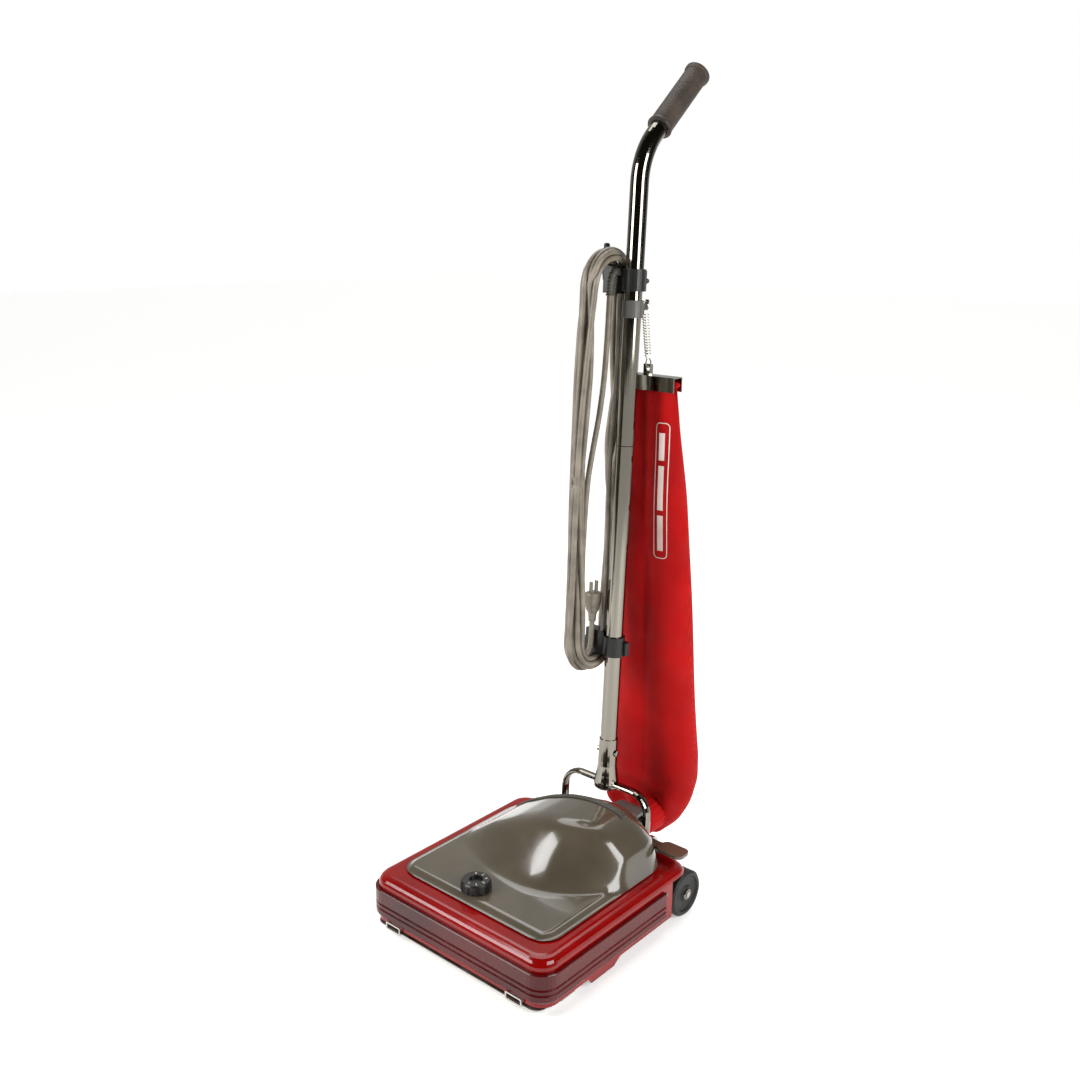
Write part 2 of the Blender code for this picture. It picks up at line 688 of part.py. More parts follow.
def bristle_row(index):
    """Row of bristles along half of the roll, twisting a quarter turn about it."""
    low, high = -0.0655, 0.128
    start = math.pi * index
    rings = []
    steps = 14
    for k in range(steps + 1):
        x = low + (high - low) * k / steps
        a = start + math.radians(100.0) * k / steps
        radial = Vector((0.0, math.cos(a), math.sin(a)))
        side = Vector((0.0, -math.sin(a), math.cos(a)))
        centre = Vector((x, ROLL_Y, ROLL_Z))
        half = 0.0022
        ring = [centre + radial * (ROLL_R + 0.0004) - side * half,
                centre + radial * (ROLL_R + 0.0004) + side * half,
                centre + radial * BRISTLE_R + side * half * 1.3,
                centre + radial * BRISTLE_R - side * half * 1.3]
        rings.append(ring)
    return add_object(f"bristle_row_{index + 1}", loft(rings), black_plastic())


def brush_end_cap(side):
    """Bearing block that holds the roll's pin."""
    name = "brush_end_cap_right" if side > 0 else "brush_end_cap_left"
    x0, x1 = sorted((side * 0.1348, side * 0.1468))
    cap = block(name, (x0, ROLL_Y - 0.014, 0.0130), (x1, ROLL_Y + 0.014, 0.0400), black_plastic(), 0.004, 3,
                "X")
    cut(cap, cylinder_cutter((side * 0.1348, ROLL_Y, ROLL_Z), (1, 0, 0), 0.0043, 0.022, 20))
    return cap


# ---------------------------------------------------------------- base: wheels and height setting
def rear_axle():
    profile = [(0.0, -0.1650), (AXLE_R, -0.1650), (AXLE_R, 0.1650), (0.0, 0.1650)]
    return turned("rear_axle", profile, zinc_steel(), (0, AXLE_Y, REAR_WHEEL_R), (1, 0, 0), 20)


def rear_wheel(side):
    """Solid moulded wheel with a dished outer face and a hub."""
    name = "rear_wheel_right" if side > 0 else "rear_wheel_left"
    bore = AXLE_R + GAP
    width = REAR_WHEEL_OUT - REAR_WHEEL_IN
    r = REAR_WHEEL_R
    profile = [(bore, 0.0), (r - 0.003, 0.0), (r, 0.003), (r, width - 0.003), (r - 0.003, width),
               (r - 0.007, width), (r - 0.009, width - 0.0025), (0.0125, width - 0.0025),
               (0.0110, width - 0.0005),
               (bore, width - 0.0005)]
    return turned(name, profile, black_rubber(), (side * REAR_WHEEL_IN, AXLE_Y, r), (side, 0, 0), 36,
                  closed=True)


def axle_nut(side):
    name = "axle_nut_right" if side > 0 else "axle_nut_left"
    profile = [(AXLE_R + GAP, 0.0), (0.0085, 0.0), (0.0075, 0.0014), (AXLE_R + GAP, 0.0014)]
    return turned(name, profile, chrome(), (side * (REAR_WHEEL_OUT + 0.0003), AXLE_Y, REAR_WHEEL_R),
                  (side, 0, 0),
                  20, closed=True)


def front_carriage():
    """Arm hinged behind the front wheels; the height cam presses on its long finger."""
    hinge_r = 0.005
    frame = sweep([(x, CARRIAGE_Y, CARRIAGE_Z) for x in (-0.066, 0.066)], hinge_r, 16)
    body = add_object("front_carriage", frame, black_plastic())
    for side in (-1, 1):
        arm = [(CARRIAGE_Y + 0.003, CARRIAGE_Z - 0.003), (CARRIAGE_Y + 0.003, CARRIAGE_Z + 0.004),
               (FRONT_AXLE_Y - 0.008, 0.0230), (FRONT_AXLE_Y - 0.010, 0.0105),
               (FRONT_AXLE_Y + 0.012, 0.0100)]
        x0, x1 = sorted((side * 0.0430, side * 0.0480))
        cut(body, add_object("cutter", prism(arm, x0, x1, "X"), black_plastic()), "UNION")
    finger = [(CARRIAGE_Y + 0.002, CARRIAGE_Z - 0.003), (CARRIAGE_Y + 0.002, CARRIAGE_Z + 0.004),
              (FRONT_AXLE_Y + 0.010, 0.0580), (KNOB_Y + 0.0065, 0.0580), (KNOB_Y + 0.0065, 0.0540),
              (FRONT_AXLE_Y + 0.002, 0.0530)]
    cut(body, add_object("cutter", prism(finger, KNOB_X - 0.0035, KNOB_X + 0.0035, "X"), black_plastic()),
        "UNION")
    cut(body, cylinder_cutter((0, FRONT_AXLE_Y, FRONT_WHEEL_R), (1, 0, 0), 0.0028, 0.2, 16))
    return body


def front_axle():
    profile = [(0.0, -0.0670), (0.0025, -0.0670), (0.0025, 0.0670), (0.0, 0.0670)]
    return turned("front_axle", profile, zinc_steel(), (0, FRONT_AXLE_Y, FRONT_WHEEL_R), (1, 0, 0), 16)


def front_wheel(side):
    name = "front_wheel_right" if side > 0 else "front_wheel_left"
    profile = tube_profile(FRONT_WHEEL_R, 0.0028, 0.0, 0.016, 0.0015)
    return turned(name, profile, black_rubber(), (side * 0.0490, FRONT_AXLE_Y, FRONT_WHEEL_R), (side, 0, 0),
                  24,
                  closed=True)


def height_knob():
    """Fluted dial with a dished centre and a shaft down to the cam."""
    top = HOOD_DECK + 0.0145
    low = HOOD_DECK + 0.0006
    knob = add_object("height_knob", lathe([(0.0, 0.0615), (0.0048, 0.0615), (0.0048, low), (0.0205, low),
                                            (0.0220, low + 0.002), (0.0210, top - 0.002), (0.0190, top),
                                            (0.0095, top), (0.0080, top - 0.0045), (0.0, top - 0.0045)], 36),
                      black_plastic())
    for k in range(12):
        a = math.radians(30.0 * k + 15.0)
        cut(knob,
            cylinder_cutter((0.0238 * math.cos(a), 0.0238 * math.sin(a), top), (0, 0, 1), 0.0032, 0.06, 10))
    knob.location = (KNOB_X, KNOB_Y, 0.0)
    return knob


def height_cam():
    """Disc on the knob's shaft whose lower face is a ramp round the axis."""
    rise = 0.0067
    outer, inner, high = 0.0140, 0.0020, 0.0612
    steps = 36
    low = high - 0.0022
    rings = []
    for k in range(steps):
        a = 2.0 * math.pi * k / steps
        turn = (math.degrees(a) - 90.0) % 360.0
        depth = rise * min(turn / 300.0, 1.0) * (1.0 if turn < 325.0 else 0.0)
        c, s = math.cos(a), math.sin(a)
        rings.append([(inner * c, inner * s, high), (outer * c, outer * s, high),
                      (outer * c, outer * s, low - depth), (inner * c, inner * s, low - depth)])
    cam = add_object("height_cam", loft(rings, closed_path=True), black_plastic())
    cam.location = (KNOB_X, KNOB_Y, 0.0)
    return cam


# ---------------------------------------------------------------- base: pivots, pedal, latch
def pivot_bracket(side):
    """Ear on the housing's rear wall with the riveted stud that one side of the handle turns on."""
    name = "pivot_bracket_right" if side > 0 else "pivot_bracket_left"
    outline = [(BODY_NOTCH + GAP, 0.056), (PIVOT_Y + 0.004, 0.066)]
    for k in range(9):
        a = math.radians(-60.0 + 150.0 * k / 8)
        outline.append((PIVOT_Y + 0.0115 * math.cos(a), PIVOT_Z + 0.0115 * math.sin(a)))
    outline.append((BODY_NOTCH + GAP, PIVOT_Z + 0.0115))
    x0, x1 = sorted((side * 0.0855, side * 0.0935))
    ear = add_object(name, prism(outline, x0, x1, "X"), zinc_steel())
    stud = [(0.0, 0.0), (0.0045, 0.0), (0.0045, 0.0215), (0.0075, 0.0215), (0.0065, 0.0245), (0.0, 0.0245)]
    cut(ear, turned("cutter", stud, zinc_steel(), (side * 0.0705, PIVOT_Y, PIVOT_Z), (side, 0, 0), 20),
        "UNION")
    return ear


PEDAL_X = 0.1035
PEDAL_Y = FRONT + 0.3115
PEDAL_Z = 0.0995


def pedal_bracket():
    """Cradle on the fender that the pedal's barrel turns in."""
    outline = [(PEDAL_X - 0.0085, BODY_TOP + GAP), (PEDAL_X + 0.0085, BODY_TOP + GAP),
               (PEDAL_X + 0.0085, PEDAL_Z - 0.0005)]
    for k in range(9):
        a = math.radians(-5.0 - 170.0 * k / 8)
        outline.append((PEDAL_X + 0.0052 * math.cos(a), PEDAL_Z + 0.0052 * math.sin(a)))
    outline.append((PEDAL_X - 0.0085, PEDAL_Z - 0.0005))
    return add_object("pedal_bracket", prism(outline, PEDAL_Y - 0.0095, PEDAL_Y + 0.0095, "Y"),
                      black_plastic())


def foot_pedal():
    """Handle release: a rounded tread outboard of the hood on a barrel along Y."""
    barrel = turned("foot_pedal", [(0.0, -0.0090), (0.0049, -0.0090), (0.0049, 0.0090), (0.0, 0.0090)],
                    hood_plastic(), (PEDAL_X, PEDAL_Y, PEDAL_Z), (0, 1, 0), 20)
    arm = block("cutter", (PEDAL_X - 0.001, PEDAL_Y - 0.0080, PEDAL_Z + 0.0008),
                (PEDAL_X + 0.024, PEDAL_Y + 0.0080, PEDAL_Z + 0.0046), hood_plastic(), 0.003, 3)
    cut(barrel, arm, "UNION")
    tread = rounded_rect(PEDAL_X + 0.019, PEDAL_X + 0.0625, PEDAL_Y - 0.0165, PEDAL_Y + 0.0125, 0.010, 6)
    cut(barrel, add_object("cutter", prism(tread, PEDAL_Z + 0.0030, PEDAL_Z + 0.0075), hood_plastic()),
        "UNION")
    return barrel


LATCH_Y = FRONT + 0.3423
LATCH_Z = 0.1095


def bag_latch():
    """Lever over the bag's connector, hinged along X, with a lip behind the connector's flange."""
    knuckle_r = 0.0030
    outline = []
    for k in range(9):
        a = math.radians(270.0 - 180.0 * k / 8)
        outline.append((LATCH_Y + knuckle_r * math.cos(a), LATCH_Z + knuckle_r * math.sin(a)))
    outline += [(LATCH_Y + 0.004, LATCH_Z + 0.0045), (LATCH_Y + 0.020, LATCH_Z + 0.0045),
                (LATCH_Y + 0.0320, LATCH_Z + 0.0010), (LATCH_Y + 0.0320, LATCH_Z - 0.0060),
                (LATCH_Y + 0.0295, LATCH_Z - 0.0060), (LATCH_Y + 0.0290, LATCH_Z - 0.0010),
                (LATCH_Y + 0.004, LATCH_Z - 0.0006)]
    return add_object("bag_latch", prism(outline, PORT_X - 0.0250, PORT_X + 0.0250, "X"), black_plastic())


def latch_hinge():
    """Hinge block on top of the exhaust port that the latch turns on."""
    return block("latch_hinge", (PORT_X - 0.0120, LATCH_Y - 0.0035, PORT_Z + 0.0203),
                 (PORT_X + 0.0120, LATCH_Y + 0.0022, LATCH_Z - 0.0034), black_plastic(), 0.0010, 2, "X")


def guard_screw(side):
    name = "guard_screw_right" if side > 0 else "guard_screw_left"
    profile = [(0.0, 0.0), (0.0036, 0.0), (0.0030, 0.0012), (0.0, 0.0016)]
    return turned(name, profile, chrome(), (side * (BODY_HALF + GAP), GUARD_END + 0.0042, 0.0600),
                  (side, 0, 0), 12)


# ---------------------------------------------------------------- handle
def arc_points(corner, into, out, radius, steps):
    """Points of a fillet at a corner between two directions."""
    into, out = Vector(into).normalized(), Vector(out).normalized()
    half = math.acos(max(-1.0, min(1.0, into.dot(out)))) / 2.0
    reach = radius * math.tan(half)
    start = Vector(corner) - into * reach
    normal = (out - into * into.dot(out)).normalized()
    centre = start + normal * radius
    points = []
    for k in range(steps + 1):
        a = 2.0 * half * k / steps
        points.append(centre - normal * radius * math.cos(a) + into * radius * math.sin(a))
    return points


def handle_bail():
    """Chrome fork: two eyes on the pivots, a cross member and the socket for the tube."""
    top = 0.0700
    path = [on_handle(-0.004, -BAIL_ARM_X)]
    for sign in (-1, 1):
        into = ALONG if sign < 0 else Vector((1, 0, 0))
        out = Vector((1, 0, 0)) if sign < 0 else -ALONG
        path += arc_points(on_handle(top, sign * BAIL_ARM_X), into, out, 0.030, 7)
    path.append(on_handle(-0.004, BAIL_ARM_X))
    bail = add_object("handle_bail", sweep(path, 0.0045, 14, squash=1.75, squash_dir=tuple(BEHIND)),
                      chrome())
    for sign in (-1, 1):
        eye = turned("cutter", [(0.0, -0.0048), (0.0105, -0.0048), (0.0105, 0.0048), (0.0, 0.0048)],
                     chrome(),
                     (sign * BAIL_ARM_X, PIVOT_Y, PIVOT_Z), (1, 0, 0), 24)
        cut(bail, eye, "UNION")
        cut(bail, cylinder_cutter((sign * BAIL_ARM_X, PIVOT_Y, PIVOT_Z), (1, 0, 0), 0.0045 + GAP, 0.02, 20))
    bore = TUBE_R + GAP
    height = SOCKET_TOP - 0.0615
    socket = [(0.0, 0.0), (0.0165, 0.0), (0.0188, 0.0030), (0.0190, 0.0090), (0.0165, 0.0230),
              (0.0146, 0.0370),
              (0.0142, height), (bore, height), (bore, 0.0410), (0.0, 0.0410)]
    shape = turned("cutter", socket, chrome(), on_handle(0.0615), ALONG, 27)
    cut(shape, cylinder_cutter(on_handle(0.120), (1, 0, 0), 0.0028, 0.06, 12))
    cut(bail, shape, "UNION")
    return bail


def lower_tube():
    """Straight tube with a reduced spigot at the top for the upper tube."""
    start = 0.104
    spigot = TUBE_R - TUBE_WALL - GAP
    inner = spigot - TUBE_WALL
    length = JOINT_TOP - start
    profile = [(TUBE_R, 0.0), (TUBE_R, length - 0.0008), (TUBE_R - 0.0008, length), (spigot, length),
               (spigot, length + 0.035), (inner, length + 0.035), (inner, 0.0)]
    tube = turned("lower_tube", profile, chrome(), on_handle(start), ALONG, 28, closed=True)
    cut(tube, cylinder_cutter(on_handle(0.120), (1, 0, 0), 0.0028, 0.06, 12))
    return tube


def bend_corner():
    return on_handle(BEND_AT)


def grip_direction():
    return Vector((0.0, math.sin(BEND_TILT), math.cos(BEND_TILT)))


def on_grip(distance):
    return bend_corner() + grip_direction() * distance


def upper_tube():
    """Tube that bends back towards the user and carries the grip."""
    path = [on_handle(JOINT_TOP + GAP)]
    path += arc_points(bend_corner(), ALONG, grip_direction(), BEND_R, 10)
    path.append(on_grip(GRIP_END - 0.006))
    return add_object("upper_tube", sweep(path, TUBE_R, 28, inner=TUBE_WALL), chrome())


def handle_grip():
    """Rubber sleeve closed at the end, with a collar and an end flange."""
    bore = TUBE_R + GAP
    length = GRIP_END - GRIP_START
    profile = [(bore, 0.0), (GRIP_R + 0.0008, 0.0), (GRIP_R + 0.0014, 0.0016), (GRIP_R + 0.0008, 0.0045),
               (GRIP_R, 0.0060), (GRIP_R, length - 0.0075), (GRIP_R + 0.0018, length - 0.0060),
               (GRIP_R + 0.0020, length - 0.0020), (GRIP_R, length), (0.0, length), (0.0, length - 0.0040),
               (bore, length - 0.0040)]
    return turned("handle_grip", profile, grip_rubber(), on_grip(GRIP_START), grip_direction(), 32,
                  closed=True)


def bail_bolt():
    """Bolt through the socket and the tube, with its nut."""
    profile = [(0.0, -0.0180), (0.0045, -0.0180), (0.0045, -0.0148), (0.0025, -0.0148), (0.0025, 0.0148),
               (0.0050, 0.0148), (0.0044, 0.0172), (0.0, 0.0180)]
    return turned("bail_bolt", profile, chrome(), on_handle(0.120), (1, 0, 0), 16)


# ---------------------------------------------------------------- handle: hooks and switch
HANK_X0 = -0.0465         # the hank lies beside the tube, between these two planes
HANK_X1 = -0.0168
HANK_T = -0.0168          # its middle, in front of the handle's axis
HANK_HALF = 0.0516        # half its width over the outside
HANK_THICK = 0.0230
HANK_LOW = 0.2455         # its ends, along the handle from the pivot
HANK_HIGH = 0.8600
HOOK_HIGH_TOP = HANK_HIGH - HANK_THICK - 0.0010
HOOK_LOW_BOTTOM = HANK_LOW + HANK_THICK + 0.0010
SADDLE_R = HANK_HALF - HANK_THICK - 0.0007
PRONG_T = 0.0040
RELIEF_S = HOOK_HIGH_TOP - 0.0088   # where the mains cord's sleeve leaves the switch box's front
RELIEF_X = -0.0215
RELIEF_T = -0.0078


def saddle(arc_middle, first, last, far, steps=12):
    """Block that fills part of the hank's round end; first and last are angles of its arc."""
    outline = []
    for k in range(steps + 1):
        a = math.radians(first + (last - first) * k / steps)
        outline.append((HANK_T + SADDLE_R * math.cos(a), arc_middle + SADDLE_R * math.sin(a)))
    outline += [(outline[-1][0], far), (outline[0][0], far)]
    rings = [[on_handle(s, x, t) for t, s in outline] for x in (HANK_X0 - 0.0008, -0.0140)]
    return add_object("cutter", loft(rings), black_plastic())


def prong(end, way):
    """Finger beside the hank's end; way is +1 when it points up the handle."""
    path = [on_handle(end - 0.020 * way, HANK_X0 + 0.001, PRONG_T),
            on_handle(end - 0.019 * way, HANK_X0 - 0.0058, PRONG_T),
            on_handle(end - 0.006 * way, HANK_X0 - 0.0074, PRONG_T),
            on_handle(end + 0.028 * way, HANK_X0 - 0.0066, PRONG_T),
            on_handle(end + 0.0295 * way, HANK_X0 - 0.0066, PRONG_T)]
    return add_object("cutter", sweep(path, [0.0046, 0.0048, 0.0050, 0.0042, 0.0028], 12), black_plastic())


def cord_hook_upper():
    """Clamp on the tube with the switch box, a saddle for the cord and a prong that keeps it on."""
    top = HOOK_HIGH_TOP
    body = handle_ring("cord_hook_upper", 0.0162, TUBE_R + GAP, top - 0.034, top - 0.004, black_plastic())
    cut(body, saddle(HANK_HIGH - HANK_HALF, 0.0, 72.0, top - 0.038), "UNION")
    cut(body, prong(top, 1), "UNION")
    rear = rounded_rect(-0.0075, 0.0075, 0.0140, 0.0205, 0.002, 2)
    cut(body, handle_prism("cutter", rear, top - 0.034, top - 0.006, black_plastic()), "UNION")
    cut(body, cylinder_cutter(on_handle(top - 0.020, 0.0, 0.019), BEHIND, 0.0048, 0.009, 16))
    cut(body, cylinder_cutter(on_handle(RELIEF_S, RELIEF_X, RELIEF_T), BEHIND, 0.0064, 0.006, 20))
    cut(body, cylinder_cutter(on_handle(top - 0.038, -0.0195, -0.004), ALONG, 0.0036, 0.020, 16))
    return body


def cord_hook_lower():
    """Clamp on the tube with a saddle for the cord's lower bend and a prong that points down."""
    low = HOOK_LOW_BOTTOM
    body = handle_ring("cord_hook_lower", 0.0162, TUBE_R + GAP, low + 0.004, low + 0.034, black_plastic())
    cut(body, saddle(HANK_LOW + HANK_HALF, 0.0, -72.0, low + 0.038), "UNION")
    cut(body, prong(low, -1), "UNION")
    ear = rounded_rect(0.0130, 0.0215, 0.0020, 0.0110, 0.002, 2)
    cut(body, handle_prism("cutter", ear, low + 0.006, low + 0.026, black_plastic()), "UNION")
    cut(body, cylinder_cutter(on_handle(low + 0.038, -0.0195, -0.004), ALONG, 0.0036, 0.020, 16))
    return body


SWITCH_S = HOOK_HIGH_TOP - 0.020


def switch_toggle():
    """Ball-ended toggle that points back at the user and tips up and down."""
    profile = [(0.0, -0.0015), (0.0020, -0.0015), (0.0020, 0.0060), (0.0026, 0.0085), (0.0037, 0.0110),
               (0.0032, 0.0136), (0.0, 0.0148)]
    return turned("switch_toggle", profile, black_plastic(), on_handle(SWITCH_S, 0.0, 0.0180), BEHIND, 14)


def motor_lead():
    """Lead from the switch box down beside the tube into the lower clamp."""
    top = HOOK_HIGH_TOP - 0.0287
    low = HOOK_LOW_BOTTOM + 0.0287
    side, front = -0.0195, -0.004
    path = []
    steps = 26
    for k in range(steps + 1):
        part = k / steps
        swell = 0.0022 * math.sin(math.pi * part) * math.sin(3.0 * math.pi * part)
        path.append(on_handle(top + (low - top) * part, side + 0.3 * swell, front + swell))
    return add_object("motor_lead", sweep(path, 0.0033, 10), cord_vinyl())


# ---------------------------------------------------------------- mains cord
def strain_relief():
    """Tapered sleeve from the switch box, turning down."""
    top, side, front = RELIEF_S, RELIEF_X, RELIEF_T
    path = [on_handle(top, side, front + 0.0012), on_handle(top + 0.0003, side - 0.0003, front - 0.0030),
            on_handle(top - 0.0008, side - 0.0010, front - 0.0068),
            on_handle(top - 0.0045, side - 0.0021, front - 0.0096),
            on_handle(top - 0.0105, side - 0.0033, front - 0.0108),
            on_handle(top - 0.0180, side - 0.0042, front - 0.0110),
            on_handle(top - 0.0255, side - 0.0047, front - 0.0110),
            on_handle(top - 0.0325, side - 0.0050, front - 0.0110)]
    radii = [0.0056, 0.0058, 0.0059, 0.0059, 0.0058, 0.0057, 0.0055, 0.0052]
    return add_object("strain_relief", sweep(path, radii, 14), black_rubber())


def smooth_route(points, spacing):
    """Catmull-Rom curve through a route, sampled about every spacing."""
    pts = [Vector(p) for p in points]
    pts = [pts[0] * 2 - pts[1]] + pts + [pts[-1] * 2 - pts[-2]]
    samples = []
    for i in range(1, len(pts) - 2):
        p0, p1, p2, p3 = pts[i - 1], pts[i], pts[i + 1], pts[i + 2]
        count = max(1, round((p2 - p1).length / spacing))
        for k in range(count):
            t = k / count
            samples.append(0.5 * ((2 * p1) + (p2 - p0) * t + (2 * p0 - 5 * p1 + 4 * p2 - p3) * t * t
                                  + (3 * p1 - p0 - 3 * p2 + p3) * t ** 3))
    samples.append(pts[-2])
    return samples


def cord_curve(name, route, radius, spacing):
    curve = bpy.data.curves.new(name, "CURVE")
    curve.dimensions = "3D"
    curve.bevel_depth = radius
    curve.bevel_resolution = 2
    curve.use_fill_caps = True
    spline = curve.splines.new("POLY")
    points = smooth_route(route, spacing)
    spline.points.add(len(points) - 1)
    for target, point in zip(spline.points, points):
        target.co = (*point, 1.0)
    curve.materials.append(cord_vinyl())
    obj = bpy.data.objects.new(name, curve)
    bpy.context.scene.collection.objects.link(obj)
    return obj


def cord_drop():
    """Cord from the strain relief down inside the hank to where it joins the turns."""
    top, side, front = RELIEF_S - 0.0328, RELIEF_X - 0.0050, RELIEF_T - 0.0110
    route = [on_handle(top, side, front), on_handle(top - 0.060, side - 0.0003, front - 0.0002),
             on_handle(top - 0.120, side - 0.0010, front - 0.0020),
             on_handle(top - 0.170, side - 0.0020, front - 0.0080),
             on_handle(top - 0.215, side - 0.0030, front - 0.0170),
             on_handle(top - 0.250, side - 0.0035, front - 0.0225)]
    return cord_curve("cord_drop", route, CORD_R, 0.018)


PLUG_S = HOOK_LOW_BOTTOM + 0.0520
PLUG_X = -0.0330
PLUG_T = -0.0130


def cord_tail():
    """Cord from the plug down into the hank's lower bend."""
    route = [on_handle(PLUG_S - 0.0008, PLUG_X, PLUG_T), on_handle(PLUG_S - 0.010, PLUG_X, PLUG_T - 0.0004),
             on_handle(PLUG_S - 0.020, PLUG_X + 0.0003, PLUG_T - 0.0022),
             on_handle(PLUG_S - 0.030, PLUG_X + 0.0006, PLUG_T - 0.0050),
             on_handle(PLUG_S - 0.0375, PLUG_X + 0.0008, PLUG_T - 0.0076)]
    return cord_curve("cord_tail", route, CORD_R, 0.012)


def cord_hank():
    """The wound cord's outer shape: a long ring with round ends."""
    def loop(half, low, high):
        points = []
        for centre, start in ((high - half, 0.0), (low + half, 180.0)):
            for k in range(11):
                a = math.radians(start + 18.0 * k)
                points.append((HANK_T + half * math.cos(a), centre + half * math.sin(a)))
        return points
    outer = loop(HANK_HALF, HANK_LOW, HANK_HIGH)
    inner = loop(HANK_HALF - HANK_THICK, HANK_LOW + HANK_THICK, HANK_HIGH - HANK_THICK)
    rings = []
    for x, outline in ((HANK_X0, outer), (HANK_X1, outer), (HANK_X1, inner), (HANK_X0, inner)):
        rings.append([on_handle(s, x, t) for t, s in outline])
    return add_object("cord_hank", loft(rings, closed_path=True), cord_vinyl())


def power_plug():
    """Moulded three-pin plug with its neck down and its blades up."""
    length = 0.044
    stations = [(0.0, 0.0050, 0.0050), (0.012, 0.0058, 0.0058), (0.018, 0.0085, 0.0095),
                (0.030, 0.0100, 0.0125),
                (length - 0.002, 0.0105, 0.0130), (length, 0.0095, 0.0120)]
    rings = []
    for s, half_x, half_t in stations:
        ring = []
        for k in range(20):
            a = 2.0 * math.pi * k / 20
            c, q = math.cos(a), math.sin(a)
            x = half_x * math.copysign(abs(c) ** 0.7, c)
            t = half_t * math.copysign(abs(q) ** 0.7, q)
            ring.append(on_handle(PLUG_S + s, PLUG_X + x, PLUG_T + t))
        rings.append(ring)
    plug = add_object("power_plug", loft(rings), cord_vinyl())
    for t in (-0.0063, 0.0063):
        blade = rounded_rect(PLUG_X - 0.0032, PLUG_X + 0.0032, PLUG_T + t - 0.0008, PLUG_T + t + 0.0008,
                             0.0004, 1)
        cut(plug, handle_prism("cutter", blade, PLUG_S + length - 0.004, PLUG_S + length + 0.017, chrome()),
            "UNION")
    pin = turned("cutter", [(0.0, 0.0), (0.0024, 0.0), (0.0024, 0.0200), (0.0, 0.0220)], chrome(),
                 on_handle(PLUG_S + length - 0.003, PLUG_X + 0.0052, PLUG_T), ALONG, 10)
    cut(plug, pin, "UNION")
    return plug


# ---------------------------------------------------------------- bag and its hanger
BAG_SPLIT = 0.262         # z where the part of the bag that stays by the base ends
SLIDE_LOW = 0.7470
SLIDE_HIGH = 0.7680
SLIDE_Y = FRONT + 0.4110
SLIDE_HALF = 0.0520


BRACKET_S = HOOK_HIGH_TOP - 0.0700


def spring_bracket():
    """Clip on the back of the tube with a nose that the spring's upper eye hangs on."""
    body = handle_ring("spring_bracket", 0.0150, TUBE_R + GAP, BRACKET_S, BRACKET_S + 0.024, zinc_steel())
    nose = [(0.0040, 0.0138), (0.0195, 0.0138), (0.0195, 0.0310), (0.0250, 0.0330), (0.0240, 0.0355),
            (0.0150, 0.0345), (0.0125, 0.0310)]
    rings = [[on_handle(BRACKET_S + s, x, t) for s, t in nose] for x in (-0.0025, 0.0025)]
    cut(body, add_object("cutter", loft(rings), zinc_steel()), "UNION")
    return body


def bag_spring():
    """Extension spring with an eye at each end."""
    eye_r = 0.0062
    coil_r = 0.0042
    turns = 15
    per_turn = 8
    top = on_handle(BRACKET_S + 0.0160, 0.0, 0.0285)
    bottom = Vector((0.0, SLIDE_Y, SLIDE_HIGH + 0.0162))
    axis = (top - bottom).normalized()
    side = Vector((1, 0, 0))
    third = axis.cross(side)
    path = []
    for k in range(11):
        a = math.radians(65.0 - 310.0 * k / 10)
        path.append(bottom + third * eye_r * math.cos(a) + axis * eye_r * math.sin(a))
    start = bottom + axis * 0.0110
    length = (top - bottom).length - 0.0220
    for k in range(turns * per_turn + 1):
        a = math.radians(-90.0) - 2.0 * math.pi * k / per_turn
        path.append(start + axis * (length * k / (turns * per_turn)) + side * coil_r * math.cos(a)
                    + third * coil_r * math.sin(a))
    for k in range(11):
        a = math.radians(-115.0 - 310.0 * k / 10)
        path.append(top + side * eye_r * math.cos(a) + axis * eye_r * math.sin(a))
    return add_object("bag_spring", sweep(path, 0.0009, 5), chrome())


def bag_slide():
    """Channel that grips the rolled top of the bag, open below, with a lug for the spring."""
    section = [(-0.0105, SLIDE_LOW), (-0.0090, SLIDE_LOW), (-0.0090, SLIDE_HIGH - 0.0015),
               (0.0090, SLIDE_HIGH - 0.0015), (0.0090, SLIDE_LOW), (0.0105, SLIDE_LOW), (0.0105, SLIDE_HIGH),
               (-0.0105, SLIDE_HIGH)]
    rings = [[(x, SLIDE_Y + y, z) for y, z in section] for x in (-SLIDE_HALF, SLIDE_HALF)]
    slide = add_object("bag_slide", loft(rings), chrome())
    lug = block("cutter", (-0.0080, SLIDE_Y - 0.0008, SLIDE_HIGH - 0.001), (0.0080, SLIDE_Y + 0.0008,
                SLIDE_HIGH + 0.0150), chrome(), 0.0002, 1)
    cut(slide, lug, "UNION")
    cut(slide, cylinder_cutter((0, SLIDE_Y, SLIDE_HIGH + 0.0085), (0, 1, 0), 0.0034, 0.01, 12))
    return slide


def bag_section(z):
    """Half width, half depth and middle y of the hanging bag at a height."""
    stops = [(0.045, 0.040, 0.016, 0.4320), (0.070, 0.066, 0.028, 0.4400), (0.110, 0.084, 0.036, 0.4470),
             (0.160, 0.088, 0.040, 0.4500), (0.300, 0.077, 0.036, 0.4460), (0.450, 0.070, 0.030, 0.4380),
             (0.600, 0.0635, 0.022, 0.4260), (0.700, 0.0570, 0.012, 0.4150),
             (0.7445, 0.0535, 0.0085, 0.4110)]
    for (z0, *low), (z1, *high) in zip(stops, stops[1:]):
        if z <= z1:
            part = (z - z0) / (z1 - z0)
            return [a + (b - a) * part for a, b in zip(low, high)]
    return list(stops[-1][1:])


